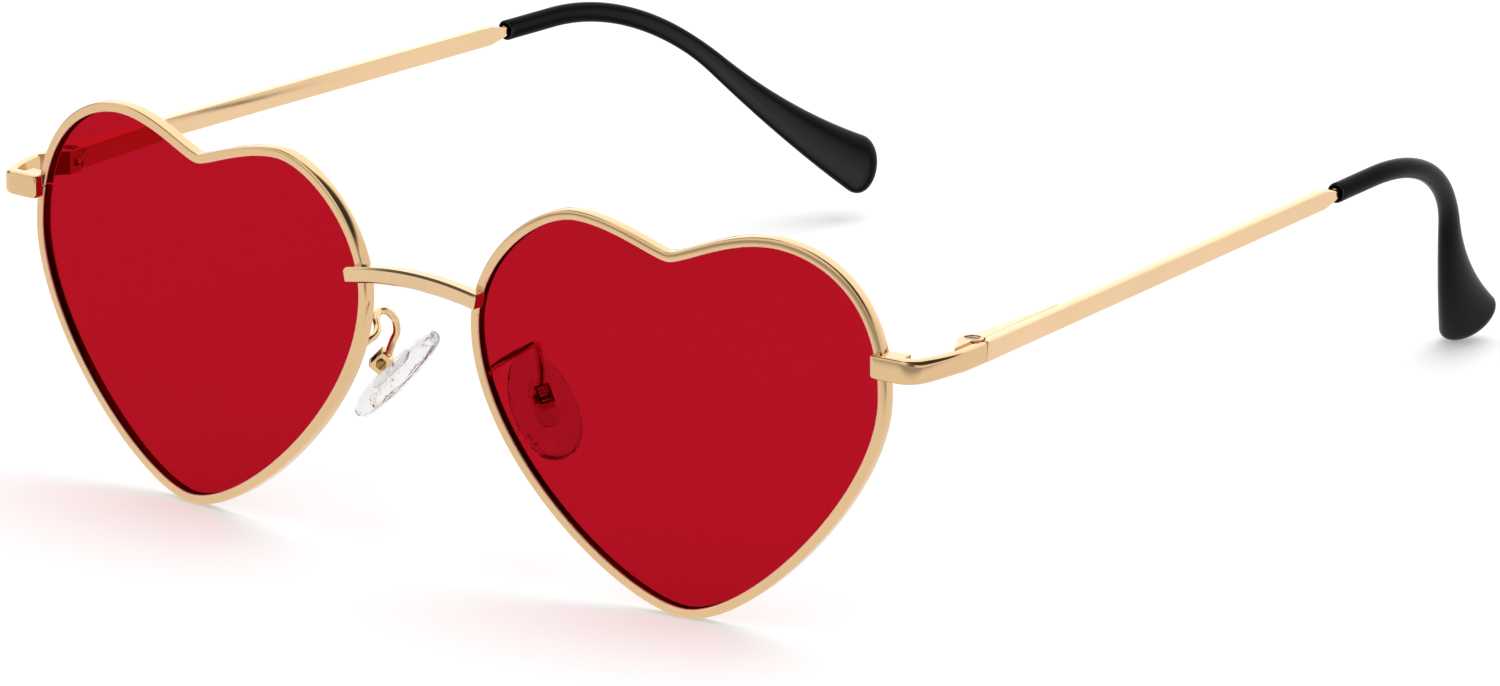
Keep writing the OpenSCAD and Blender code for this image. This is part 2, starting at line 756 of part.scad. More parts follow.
module at_box() {
    at_pad() translate([0, 0, box_pos]) children();
}

// Rounded block of the pad box's outside
module box_block() {
    cube([box_len, box_w, box_depth], center = true);
}

module pad_box(side) {
    color(bright_gold) placed(side) at_box() difference() {
        box_block();
        translate([0, 0, -box_wall / 2]) cube([
            box_len - 2 * box_wall, box_w - 2 * box_wall, box_depth + overrun], center = true);
        rotate([90, 0, 0]) cylinder(r = pad_screw_r + shaft_fit, h = 2 * box_w, center = true, $fn = 40);
    }
}

module pad_screw(side) {
    color(bright_gold) placed(side) at_box() rotate([90, 0, 0]) difference() {
        union() {
            cylinder(r = pad_screw_r, h = box_w, center = true, $fn = 40);
            translate([0, 0, box_w / 2]) cylinder(r = pad_head_r, h = pad_head_t, $fn = 40);
        }
        translate([0, 0, box_w / 2 + pad_head_t])
            cube([2 * pad_head_r + overrun, screw_slot_w, 2 * screw_slot_d], center = true);
    }
}

// Insert: a plate moulded into the pad, with a lug that the pad screw passes through
module insert_plate(grow) {
    translate([0, 0, pad_t / 2 - insert_depth - grow]) linear_extrude(insert_t + 2 * grow)
        union() {
            square([insert_len - insert_w, insert_w + 2 * grow], center = true);
            for (x = [-1, 1]) translate([x * (insert_len - insert_w) / 2, 0])
                circle(r = insert_w / 2 + grow, $fn = 40);
        }
}

module insert_neck(grow) {
    top = box_pos;
    bottom = pad_t / 2 - insert_depth + insert_t / 2;
    translate([-lug_len / 2 - grow, -lug_w / 2 - grow, bottom])
        cube([lug_len + 2 * grow, lug_w + 2 * grow, top - bottom]);
}

module pad_insert(side) {
    color(insert_clear) placed(side) at_pad() difference() {
        union() {
            insert_plate(0);
            insert_neck(0);
            translate([0, 0, box_pos]) rotate([90, 0, 0])
                cylinder(r = lug_len / 2, h = lug_w, center = true, $fn = 40);
        }
        translate([0, 0, box_pos]) rotate([90, 0, 0])
            cylinder(r = pad_screw_r + shaft_fit, h = 2 * lug_w, center = true, $fn = 40);
    }
}

// Pad: a thin oval cushion, flatter behind, fuller on the nose side
module pad_body() {
    rings = [
        for (k = [0:pad_rings])
            let(
                a = -80 + 160 * k / pad_rings,
                x = pad_len / 2 * sin(a) / sin(80),
                w = pad_w / 2 * pow(cos(a), 0.85) * (1 + 0.12 * sin(a)),
                t = pad_t / 2 * pow(cos(a), 0.5)
            )
            [for (i = [0:pad_sides - 1]) let(t1 = 360 * i / pad_sides)
                [x, w * cos(t1), t * sin(t1)]]
    ];
    skin(rings);
}

module nose_pad(side) {
    color(pad_clear) placed(side) at_pad() difference() {
        pad_body();
        insert_plate(lens_fit);
        insert_neck(slide_fit);
    }
}

// Arm: a wire that leaves the rim's back, loops up and comes down into the pad box
arm_foot = [
    lens_cx - (lens_w * arm_across_share + rim_w / 2) * cos(face_wrap),
    lens_cy - (lens_w * arm_across_share + rim_w / 2) * sin(face_wrap) + side_sag + rim_d / 2,
    rim_w + lens_w * arm_level_share
];
arm_seat = pad_frame([-box_len / 2, 0, box_pos]);
arm_way = arm_seat - arm_foot;
arm_points = [
    for (s = arm_shares)
        arm_foot + [s[0] * arm_way[0], s[1] * arm_way[1], s[2] * arm_way[2] + s[3] * arm_rise]
];
arm_line = concat(
    [for (i = [0:len(arm_points) - 2]) for (k = [0:arm_steps - 1]) spline(arm_points, i, k / arm_steps)],
    [arm_points[len(arm_points) - 1], arm_seat + 0.2 * (pad_frame([0, 0, box_pos]) - arm_seat)]
);

module wire(line, r, sides) {
    last = len(line) - 1;
    skin([
        for (k = [0:last])
            let(
                d = unit(line[min(k + 1, last)] - line[max(k - 1, 0)]),
                u = unit(cross(d, [1, 0.2, 0])),
                w = cross(d, u)
            )
            [for (i = [0:sides - 1]) let(t = 360 * i / sides) line[k] + r * (cos(t) * u + sin(t) * w)]
    ]);
}

module pad_arm(side) {
    color(bright_gold) placed(side) difference() {
        wire(arm_line, arm_wire_r, arm_sides);
        on_lens() rim_shape();
        at_box() box_block();
    }
}

rim(left);  // rim_left
rim(right);  // rim_right
lens(left);  // lens_left
lens(right);  // lens_right
bridge();
end_piece(left);  // end_piece_left
end_piece(right);  // end_piece_right
rim_lock_upper(left);  // rim_lock_upper_left
rim_lock_upper(right);  // rim_lock_upper_right
rim_lock_lower(left);  // rim_lock_lower_left
rim_lock_lower(right);  // rim_lock_lower_right
rim_lock_screw(left);  // rim_lock_screw_left
rim_lock_screw(right);  // rim_lock_screw_right
hinge_front(left);  // hinge_front_left
hinge_front(right);  // hinge_front_right
hinge_rear(left);  // hinge_rear_left
hinge_rear(right);  // hinge_rear_right
hinge_screw(left);  // hinge_screw_left
hinge_screw(right);  // hinge_screw_right
pad_arm(left);  // pad_arm_left
pad_arm(right);  // pad_arm_right
pad_box(left);  // pad_box_left
pad_box(right);  // pad_box_right
pad_screw(left);  // pad_screw_left
pad_screw(right);  // pad_screw_right
pad_insert(left);  // pad_insert_left
pad_insert(right);  // pad_insert_right
nose_pad(left);  // nose_pad_left
nose_pad(right);  // nose_pad_right
temple(left);  // temple_left
temple(right);  // temple_right
temple_tip(left);  // temple_tip_left
temple_tip(right);  // temple_tip_right
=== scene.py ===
"""Heart shaped metal sunglasses on a white table: smooth pieces, finishes, light and camera.

Sizes are in millimetres and angles in degrees, in the glasses' own frame: X to the wearer's
left, Y to the back, Z up, with the origin between the lenses on the table. place() turns them
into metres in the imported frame. The smooth pieces repeat the forms of the solids that they
replace, with finer facets and rounded edges.
"""

import math

import bmesh
import bpy
from mathutils import Matrix, Vector


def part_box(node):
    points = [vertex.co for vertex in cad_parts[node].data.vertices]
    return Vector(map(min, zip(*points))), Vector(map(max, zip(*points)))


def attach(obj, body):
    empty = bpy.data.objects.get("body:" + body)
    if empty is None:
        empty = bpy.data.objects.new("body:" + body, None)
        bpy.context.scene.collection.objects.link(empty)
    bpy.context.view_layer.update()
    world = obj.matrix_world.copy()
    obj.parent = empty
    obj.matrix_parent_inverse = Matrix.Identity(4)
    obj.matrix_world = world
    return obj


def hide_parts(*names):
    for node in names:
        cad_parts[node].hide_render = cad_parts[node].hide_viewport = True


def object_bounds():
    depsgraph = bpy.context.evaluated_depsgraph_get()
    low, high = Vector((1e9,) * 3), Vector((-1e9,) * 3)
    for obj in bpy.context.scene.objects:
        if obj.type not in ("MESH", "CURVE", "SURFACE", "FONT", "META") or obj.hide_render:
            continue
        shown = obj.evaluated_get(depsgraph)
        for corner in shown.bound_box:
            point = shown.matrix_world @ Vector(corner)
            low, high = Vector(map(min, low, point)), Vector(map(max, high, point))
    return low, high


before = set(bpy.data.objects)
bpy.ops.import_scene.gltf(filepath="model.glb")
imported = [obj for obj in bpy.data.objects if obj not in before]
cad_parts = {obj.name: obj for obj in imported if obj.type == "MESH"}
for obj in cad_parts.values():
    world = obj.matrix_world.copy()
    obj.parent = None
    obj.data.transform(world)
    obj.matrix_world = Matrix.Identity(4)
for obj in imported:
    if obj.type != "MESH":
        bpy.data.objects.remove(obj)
cad_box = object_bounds()

MM = 0.001
LEFT, RIGHT = 1, -1
SIDES = {"left": LEFT, "right": RIGHT}

# Lenses and rims
LENS_W = 52
LENS_T = 0.95
LENS_CURVE_R = 265
LENS_FIT = 0.03
LENS_EDGE = 0.06
FACE_WRAP = 6
NOSE_GAP = 17.7
RIM_W = 1.15
RIM_LIP = 0.25
GROOVE_D = 0.5
LOCK_SLIT = 0.2
STRAP_LEVEL_SHARE = 0.621

# Rounding of the rim's section: its lip, outer edge, rear edge and rear inner edge
LIP_R, OUTER_R, REAR_R, INNER_R = 0.2, 0.24, 0.14, 0.1
CORNER_STEPS = 3
OUTER_STEPS = 4

# Heart outline, each row [across, up, run across, run up, handle in, handle out], as shares
# of the width; the first row is the low point and the fourth is the notch
HEART_SHARES = [
    [0.025, 0, 1, 0, 0.155, 0.15],
    [0.5, 0.54, 0, 1, 0.22, 0.23],
    [0.235, 0.837, -1, 0, 0.105, 0.107],
    [-0.013, 0.772, -1, 0, 0.038, 0.034],
    [-0.25, 0.827, -1, 0, 0.097, 0.097],
    [-0.5, 0.558, 0, -1, 0.148, 0.265],
]
HEART_STEPS = 44
HEART_TOP_SHARE = 0.837
NOTCH_ROW = 3

# Rings of a lens face, from its edge to its middle
LENS_RING_SHARES = [1, 0.985, 0.95, 0.88, 0.78, 0.66, 0.52, 0.37, 0.22, 0.08]

# Bridge
BRIDGE_D = 1.7
BRIDGE_SEAT = 0.25

# End pieces and hinges
STRAP_REACH = 12.4
STRAP_T = 1.4
STRAP_H = 2.4
PLATE_H = 2.75
PLATE_LAP = 0.3
PLATE_CUT = PLATE_H / 8
SAG_SHARE = 0.54
CORNER_R = 2.6
SHOULDER_R = 16
SHOULDER_TURN = 28
HINGE_OUT = 3.65
HINGE_INSET = 2.05
KNUCKLE_ROOM = 1.45
SEAM_GAP = 0.1

# Rounding of flat bars: the outer edges, which are softer in the bend and smaller below, the
# inner edges and the ends; the last full section lies the seam's room before it
EDGE_R = 0.36
BEND_EDGE_R = 0.75
LOW_EDGE_SHARE = 0.7
INNER_EDGE_R = 0.1
LEAST_R = 0.02
PLATE_END_R = 0.3
SEAM_R = 0.2
SEAM_ROOM = 0.21
ROUND_STEPS = 4
PLATE_STEPS = 8
BEND_STEPS = 16
ARM_STEPS = 24

# Temples: a flat strip that tapers to its nose and sinks into the sleeve, and its round core
TEMPLE_IN = 3.9
STRIP_T = 1.25
STRIP_H = 2.45
STRIP_LEN = 77.7
STRIP_TAPER = 3
STRIP_END_SHARE = 0.94
STRIP_NOSE_SHARE = 0.42
STRIP_SINK = 1
STRIP_SUNK_SHARE = 0.9
STRIP_EDGE_R = 0.3
STRIP_STEPS = 40
TAPER_STEPS = 6
CORE_R = 0.6
CORE_STEPS = 40
CORE_SIDES = 24

# Sections of the strip's hollow beside the knuckles
HOLLOW_STEP = 0.15
HOLLOW_STEPS = 10
HOLLOW_REACH = 2

# Tip sleeves: their bend, the twist of their broad ends, their half sizes and their bores
TIP_STRAIGHT = 8.8
BEND_R = 35.8
BEND = {LEFT: 52.7, RIGHT: 47.4}
TWIST = {LEFT: 20, RIGHT: 0}
TAIL_ANGLE = 13
HOOK_LEAN = 22.4
FOOT_GAP = 0.05
SLEEVE_HH = 1.25
SLEEVE_HT = 1.15
PADDLE_HH = 4
PADDLE_HT = 2.3
PADDLE_END_SHARE = 0.72
PADDLE_END = PADDLE_HH * PADDLE_END_SHARE
CAP_POWER = 2.4
CAP_TURN = 80
CAP_SHORT = 0.04
GROW_SHARE = 0.82
GROW_POWER = 1.6
CORE_TAIL_SHARE = 0.5
BORE_FIT = 0.1
MOUTH_ROUND = 0.2
MOUTH_R = 0.98
MOUTH_DEPTH = 1.3
FOOT_STEPS = 50
BORE_STEPS = 12
MOUTH_ANGLES = (0, 30, 60)
SLEEVE_STEPS = 96
SLEEVE_SIDES = 48
CAP_STEP = 4
SLEEVE_SHARP = 50

# How far the smooth skins stay inside the outer faces of the solids
SKIN_INSET = 0.01
TIP_INSET = 0.06

# Nose pads, whose sections go through twice PAD_TURN from end to end
PAD_SPACING = 21.2
PAD_BACK = 9.5
PAD_LEVEL_SHARE = 0.336
PAD_LEN = 13.7
PAD_W = 7.5
PAD_T = 2.4
PAD_CANT = 44
PAD_SPLAY = 25
PAD_ROLL = 17
PAD_TURN = 88
PAD_W_POWER = 0.85
PAD_T_POWER = 0.5
PAD_SWELL_SHARE = 0.12
PAD_STEPS = 44
PAD_SIDES = 56

# Pad boxes and the arms that carry them
BOX_LEN = 2.4
BOX_DEPTH = 1.7
BOX_GAP = 0.4
BOX_POS = PAD_T / 2 + BOX_GAP + BOX_DEPTH / 2
WIRE_R = 0.45
WIRE_RISE = 2.4
WIRE_LEVEL_SHARE = 0.44
WIRE_ACROSS_SHARE = 0.48
WIRE_SINK_SHARE = 0.2
WIRE_SIDE = Vector((1, 0.2, 0))
WIRE_STEPS = 10
WIRE_SIDES = 24
# Each row: shares of the way from the rim to the box along X, Y and Z, and of the loop's rise
WIRE_SHARES = [
    [0, 0, 0, 0], [-0.2, 0.18, 0, 0.22], [-0.16, 0.36, 0, 0.36], [0.12, 0.5, 0, 0.56],
    [0.65, 0.62, 0, 0.84], [0.98, 0.78, 0, 1.04], [0.84, 0.93, 0, 0.98],
    [0.64, 1.06, 0, 0.5], [0.64, 1.1, 0.1, 0], [0.86, 1.07, 0.5, 0], [1, 1, 1, 0],
]

# Meshes: points nearer than the weld are one, edges steeper than the sharp angle stay sharp
PIECE_WELD = 0.004
PIECE_SHARP = 40
NODE_WELD = 0.002
NODE_FLAT = 0.6
BEVEL_STEPS = 3
BEVEL_ANGLE = 30
FLAT_WEIGHT = 70

# Stretches whose directions span less than this are parallel
PARALLEL = 1e-12

# Colours as sRGB hex. The golds are one plating, made darker on the rims and plates and lighter on
# the strips and bridge as painted shade and painted light.
GOLD_RIM = "E2BE90"
# A paler, pinker gold on the rims' lips: a painted highlight
GOLD_LIP_HIGHLIGHT = "F6CDAE"
GOLD_BRIDGE = "E3C298"
GOLD_STRIP = "EFCBA0"
GOLD_SCREW = "E6C596"
# A darker gold on the hinge and pad screws, which paints shade on them
GOLD_SCREW_SHADE = "A07C4E"
LENS_TINT = "AA1121"
LENS_SHADE = "D22C1C"
PAD_CLEAR = "F7F7F7"
INSERT_CLEAR = "F0F1F2"
TIP_BLACK = "080808"
WHITE = (1, 1, 1, 1)

# Noise: scales are waves in a metre, and most of its values lie within the range
NOISE_DETAIL = 3
NOISE_RANGE = (0.3, 0.7)
METAL_GRAIN_SCALE, METAL_CLOUD_SCALE = 900, 90
LENS_CLOUD_SCALE = 40
PAD_RIPPLE_SCALE, INSERT_RIPPLE_SCALE = 430, 800
TIP_GRAIN_SCALE, TIP_CLOUD_SCALE = 2500, 120

# How far the finishes vary, as shares of their own colour or roughness, lowest and highest
METAL_TINT_SHARES = (0.97, 1.03)
METAL_ROUGH_SHARES = (0.8, 1.25)
CLEAR_ROUGH_SHARES = (0.6, 1.4)
TIP_TINT_SHARES = (0.9, 1.15)

# Depth of the bumps, and how strongly they show
METAL_BUMP_D, METAL_BUMP, BRUSHED_BUMP = 0.02, 0.02, 0.03
CLEAR_BUMP_D, CLEAR_BUMP = 0.4, 0.7
TIP_BUMP_D, TIP_BUMP = 0.03, 0.04

# Lens: least and most roughness, and the share of gloss where Fresnel is 0 and 1
LENS_ROUGHNESS = (0.01, 0.03)
LENS_SHINE = (0, 0.3)
LENS_SHINE_IOR = 1.05

# Tips: least and most roughness, and the specular level at the start and end of a span from
# facing the eye, which is 0, to edge on, which is 1
TIP_ROUGHNESS = (0.2, 0.27)
TIP_SHINE = (0.5, 0.02)
TIP_SHINE_SPAN = (0.05, 0.35)

# Grain of the metal: even, or drawn out along X, along X and Y, or along Y
EVEN = (1, 1, 1)
ALONG_X = (0.06, 1, 1)
ALONG_XY = (0.06, 0.06, 1)
ALONG_Y = (1, 0.04, 1)

# Table, in metres: its brightness, and where it gets darker in what polished faces mirror
FLOOR_COLOUR = (0.85, 0.85, 0.85, 1)
FLOOR_HALF = 4
FLOOR_DROP = 0.00002
FLOOR_WHITE_SHARE = 0.3
FLOOR_DIM_WAY = (0.6, -0.8, 0)
FLOOR_DIM_RANGE = (0.16, 0.25)
FLOOR_DIM_LEVEL = 0.45

# Room: its brightness, the brighter backdrop and the dark patches, which only polish mirrors;
# each patch is a direction, its inner and outer half angle, and how much darker it is
ROOM_LEVEL = 0.95
BACKDROP_WAY = (-0.45, 0.8, 0.35)
BACKDROP_ANGLES = (25, 70)
BACKDROP_GAIN = 0.5
DARK_PATCHES = [
    ((-0.5, -0.3, 0.8), 12, 20, 0.85),
    ((0.575, -0.72, 0.38), 14, 28, 0.85),
    ((-0.97, 0.18, 0.14), 10, 24, 0.75),
    ((0.45, 0.12, 0.85), 32, 41, 0.95),
]

# Lamp, in metres and watts
LAMP_SIZE = 1.3
LAMP_PLACE = (0.24, 0.3, 1.25)
LAMP_POWER = 10.5

# Camera, fitted to the photograph; its range is in metres
CAMERA_AZIMUTH = 36.85
CAMERA_ELEVATION = 16.41
CAMERA_ROLL = 0.13
CAMERA_TARGET = Vector((0, 38.52, 19.26))
CAMERA_SHIFT = (12.05, -2.73)
CAMERA_DISTANCE = 1224.3
CAMERA_FOCAL = 252.34
CAMERA_RANGE = 50
SENSOR_W = 36


def sin(deg):
    return math.sin(math.radians(deg))


def cos(deg):
    return math.cos(math.radians(deg))


def between(a, b, share):
    return a + (b - a) * share


def plan_way(angle):
    """The unit way across the plan that lies at that angle from X towards the back."""
    return Vector((cos(angle), sin(angle)))


# The rims' depth, the places of the lens's middle, nose side and hinge, and how far behind the
# glasses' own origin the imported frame's lies
rim_d = 2 * RIM_LIP + LENS_T + 2 * LENS_FIT
lens_mid = LENS_W * HEART_TOP_SHARE / 2
lens_x = NOSE_GAP / 2 + LENS_W / 2 * cos(FACE_WRAP)
lens_y = -LENS_W / 2 * sin(FACE_WRAP)
side_sag = LENS_CURVE_R - math.sqrt(LENS_CURVE_R**2 - (LENS_W / 2) ** 2)
nose_y = lens_y - LENS_W / 2 * sin(FACE_WRAP) + side_sag
strap_v = LENS_W * STRAP_LEVEL_SHARE
hinge_x = lens_x + (LENS_W / 2 + RIM_W) * cos(FACE_WRAP) + HINGE_OUT
hinge_y = lens_y + LENS_W / 2 * sin(FACE_WRAP) + STRAP_REACH
hinge_z = strap_v + RIM_W
mid_y = nose_y - BRIDGE_D + BRIDGE_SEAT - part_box("bridge")[0][1] / MM


def place(point, side):
    """A point of the glasses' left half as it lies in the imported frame, on that side."""
    x, y, z = point
    return Vector((side * x, y - mid_y, z)) * MM


def lens_to_glasses(x, y, z):
    """From the lens frame, X outward along the lens, Y up and Z to the front."""
    c, s = cos(FACE_WRAP), sin(FACE_WRAP)
    return (lens_x + x * c + z * s, lens_y + x * s - z * c, RIM_W + y)


def hinge_to_glasses(x, y, z):
    """From the hinge frame, Y along the temple and X outward."""
    c, s = cos(TEMPLE_IN), sin(TEMPLE_IN)
    return (hinge_x + x * c - y * s, hinge_y + x * s + y * c, hinge_z + z)


# Meshes
def mesh_piece(name, shape, body, node, materials, sharp=PIECE_SHARP, accents=()):
    """A piece of that shape, its points and faces, that rides on a body and replaces a node.

    The faces listed in accents have the second material.
    """
    points, faces = shape
    mesh = bpy.data.meshes.new(name)
    mesh.from_pydata(points, [], faces)
    for material in materials:
        mesh.materials.append(material)
    for face in accents:
        mesh.polygons[face].material_index = 1
    work = bmesh.new()
    work.from_mesh(mesh)
    bmesh.ops.remove_doubles(work, verts=work.verts, dist=PIECE_WELD * MM)
    bmesh.ops.recalc_face_normals(work, faces=work.faces)
    for face in work.faces:
        face.smooth = True
    work.to_mesh(mesh)
    work.free()
    mesh.set_sharp_from_angle(angle=math.radians(sharp))
    piece = bpy.data.objects.new(name, mesh)
    bpy.context.scene.collection.objects.link(piece)
    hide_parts(node)
    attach(piece, body)
    return piece


def skin(rings):
    """Points and faces of a skin through rings of points, closed by a cap at each end."""
    n = len(rings[0])
    points = [p for ring in rings for p in ring]
    faces = []
    for a in range(0, len(points) - n, n):
        faces += [(a + i, a + (i + 1) % n, a + n + (i + 1) % n, a + n + i) for i in range(n)]
    faces.append(tuple(reversed(range(n))))
    faces.append(tuple(range(len(points) - n, len(points))))
    return points, faces


def joined(first, second):
    """Two shapes as one."""
    shift = len(first[0])
    moved = [tuple(i + shift for i in face) for face in second[1]]
    return first[0] + second[0], first[1] + moved


def round_corner(u, d, r, start, steps=CORNER_STEPS, turn=90):
    """Section points round a corner whose middle is (u, d), from the start through the turn."""
    angles = [start + turn * k / steps for k in range(steps + 1)]
    return [(u + r * cos(a), d + r * sin(a)) for a in angles]


# Heart outline
def bezier(a, b, c, d, t):
    return (1 - t) ** 3 * a + 3 * (1 - t) ** 2 * t * b + 3 * (1 - t) * t * t * c + t**3 * d


def heart_outline():
    """Points of the opening's outline, anticlockwise from its low point."""
    points = []
    for i, start in enumerate(HEART_SHARES):
        end = HEART_SHARES[(i + 1) % len(HEART_SHARES)]
        a, d = Vector(start[:2]), Vector(end[:2])
        b = a + start[5] * Vector(start[2:4])
        c = d - end[4] * Vector(end[2:4])
        points += [LENS_W * bezier(a, b, c, d, k / HEART_STEPS) for k in range(HEART_STEPS)]
    return points


heart = heart_outline()


def crossing(a, b, c, d):
    """Where the stretches ab and cd cross, or None."""
    r, s = b - a, d - c
    area = r.x * s.y - r.y * s.x
    if abs(area) < PARALLEL:
        return None
    t = ((c - a).x * s.y - (c - a).y * s.x) / area
    u = ((c - a).x * r.y - (c - a).y * r.x) / area
    return a + t * r if 0 <= t <= 1 and 0 <= u <= 1 else None


def at_level(a, b, level):
    """The point of the line ab at that height."""
    return a + (b - a) * ((level - a.y) / (b.y - a.y))


def grown(reach):
    """The heart moved outward by reach, with the loop that forms in the notch taken out."""
    n = len(heart)
    moved = []
    for i, p in enumerate(heart):
        run = (heart[(i + 1) % n] - heart[i - 1]).normalized()
        moved.append(p + reach * Vector((run.y, -run.x)))
    notch = NOTCH_ROW * HEART_STEPS
    for i in range(notch - HEART_STEPS, notch):
        for j in range(notch + HEART_STEPS, notch, -1):
            x = crossing(moved[i], moved[i + 1], moved[j - 1], moved[j])
            if x is not None:
                moved[i + 1:j] = [x] * (j - i - 1)
                return moved
    return moved


def on_curve(point, depth):
    """A point of the outline on the surface that lies depth behind the lens's front curve."""
    r = LENS_CURVE_R - depth
    z = math.sqrt(r * r - point.x * point.x - (point.y - lens_mid) ** 2) - LENS_CURVE_R
    return lens_to_glasses(point.x, point.y, z)


# Rims and lenses
def rim_section():
    """Rim section as (out from the opening, back from the front curve), with the groove."""
    return (
        round_corner(LIP_R, LIP_R, LIP_R, 180)
        + round_corner(RIM_W - OUTER_R, OUTER_R, OUTER_R, 270, OUTER_STEPS)
        + round_corner(RIM_W - REAR_R, rim_d - REAR_R, REAR_R, 0)
        + round_corner(INNER_R, rim_d - INNER_R, INNER_R, 90)
        + [(0, rim_d - RIM_LIP), (GROOVE_D, rim_d - RIM_LIP), (GROOVE_D, RIM_LIP), (0, RIM_LIP)]
    )


def rim(word, materials):
    """The rim swept round the heart, open at the lock's slit; its lip has the second material, a
    paler, pinker gold that is a painted highlight.
    """
    slit_top, slit_foot = strap_v + LOCK_SLIT / 2, strap_v - LOCK_SLIT / 2
    outer_side = range(HEART_STEPS, 2 * HEART_STEPS + 1)
    start = next(i for i in outer_side if heart[i].y > slit_top)
    stop = next(i for i in reversed(outer_side) if heart[i].y < slit_foot)
    loops = []
    for out, depth in rim_section():
        loop = grown(out)
        upper = at_level(loop[start - 1], loop[start], slit_top)
        lower = at_level(loop[stop], loop[stop + 1], slit_foot)
        run = [upper, *loop[start:], *loop[:stop + 1], lower]
        loops.append([place(on_curve(p, depth), SIDES[word]) for p in run])
    rings = list(zip(*loops))
    lip = [k * len(loops) + i for k in range(len(rings) - 1) for i in range(CORNER_STEPS)]
    return mesh_piece(
        "heart_rim_" + word, skin(rings), "front", "rim_" + word, materials, accents=lip
    )


def lens(word, materials):
    """The lens: two curved faces joined by an edge with small bevels."""
    edge = grown(GROOVE_D - LENS_FIT)
    inner = grown(GROOVE_D - LENS_FIT - LENS_EDGE)
    middle = Vector((0, lens_mid))
    front, back = RIM_LIP + LENS_FIT, rim_d - RIM_LIP - LENS_FIT

    def ring(outline, share, depth):
        spots = [middle + share * (p - middle) for p in outline]
        return [place(on_curve(p, depth), SIDES[word]) for p in spots]

    rings = [ring(inner, share, front) for share in reversed(LENS_RING_SHARES)]
    rings += [ring(edge, 1, front + LENS_EDGE), ring(edge, 1, back - LENS_EDGE)]
    rings += [ring(inner, share, back) for share in LENS_RING_SHARES]
    return mesh_piece("heart_lens_" + word, skin(rings), "front", "lens_" + word, materials)


# Flat bars: the end pieces and the temples
def bar_section(low, high, thick, shrink, edge_r):
    """Section of a flat bar as (depth from its outer face, height), with rounded corners."""
    near, far = shrink, thick - shrink
    low, high = low + shrink, high - shrink
    ring = []
    for r, depth, z, start in (
        (edge_r * LOW_EDGE_SHARE, near, low, 270), (edge_r, near, high, 180),
        (INNER_EDGE_R, far, high, 90), (INNER_EDGE_R, far, low, 0),
    ):
        r = max(r - shrink, LEAST_R)
        mid_depth = depth + r if depth == near else depth - r
        mid_z = z + r if z == low else z - r
        ring += round_corner(mid_depth, mid_z, r, start, ROUND_STEPS, -90)
    return ring


def beside_knuckle(y, full):
    """Thickness of a bar that leaves room for the knuckles, y along it from the hinge axis."""
    if abs(y) >= KNUCKLE_ROOM:
        return full
    return min(full, HINGE_INSET - math.sqrt(KNUCKLE_ROOM**2 - y * y))


def end_rounding(radius):
    """Places along a bar's rounded end and how much the section shrinks there."""
    turns = [90 * k / ROUND_STEPS for k in range(ROUND_STEPS)]
    return [(radius * (1 - cos(a)), radius * (1 - sin(a))) for a in turns]


def height_at(value, pairs):
    """The height of a broken line through (place, height) pairs."""
    for (x0, h0), (x1, h1) in zip(pairs, pairs[1:]):
        if value <= x1:
            return h0 + (h1 - h0) * max(value - x0, 0) / (x1 - x0)
    return pairs[-1][1]


# Plan of the end piece's outer face: the ways along and out of the front and the temple, the
# plate's end, the seam at the hinge and the angle at which the two arcs between them meet
front_way, front_out = plan_way(FACE_WRAP), plan_way(FACE_WRAP - 90)
temple_way, temple_out = plan_way(TEMPLE_IN + 90), plan_way(TEMPLE_IN)
hinge_spot = Vector((hinge_x, hinge_y))
plate_end = Vector((lens_x, lens_y)) + (LENS_W / 2 - PLATE_LAP) * front_way
seam = hinge_spot + HINGE_INSET * temple_out - SEAM_GAP * temple_way
bend_angle = TEMPLE_IN - SHOULDER_TURN


def arc_middles():
    """Middles of the corner's arc, which leaves the front, and the shoulder's to the temple."""
    apart = (SHOULDER_R - CORNER_R) * plan_way(bend_angle)
    a = front_out.dot(plate_end - apart) - CORNER_R
    b = temple_out.dot(seam) - SHOULDER_R
    across = Vector(
        (a * temple_out.y - b * front_out.y, b * front_out.x - a * temple_out.x)
    )
    shoulder = across / (front_out.x * temple_out.y - front_out.y * temple_out.x)
    return shoulder + apart, shoulder


corner_mid, shoulder_mid = arc_middles()


def strap_stations():
    """Sections along the end piece: (spot, way out, shrink, radius of its outer edges)."""
    stations = [
        (plate_end + step * front_way, front_out, shrink, EDGE_R)
        for step, shrink in end_rounding(PLATE_END_R)
    ]
    start, end = plate_end + PLATE_END_R * front_way, corner_mid + CORNER_R * front_out
    stations += [
        (between(start, end, k / PLATE_STEPS), front_out, 0, EDGE_R)
        for k in range(PLATE_STEPS + 1)
    ]
    for middle, r, first, last, first_r, last_r in (
        (corner_mid, CORNER_R, FACE_WRAP - 90, bend_angle, EDGE_R, BEND_EDGE_R),
        (shoulder_mid, SHOULDER_R, bend_angle, TEMPLE_IN, BEND_EDGE_R, EDGE_R),
    ):
        for share in [k / BEND_STEPS for k in range(1, BEND_STEPS + 1)]:
            out = plan_way(between(first, last, share))
            stations.append((middle + r * out, out, 0, between(first_r, last_r, share)))
    start = shoulder_mid + SHOULDER_R * temple_out
    straight = [between(start, seam, k / ARM_STEPS) for k in range(1, ARM_STEPS)]
    stations += [
        (spot, temple_out, 0, EDGE_R) for spot in straight
        if (seam - spot).dot(temple_way) > SEAM_ROOM
    ]
    stations += [
        (seam - step * temple_way, temple_out, shrink, EDGE_R)
        for step, shrink in reversed(end_rounding(SEAM_R))
    ]
    return stations


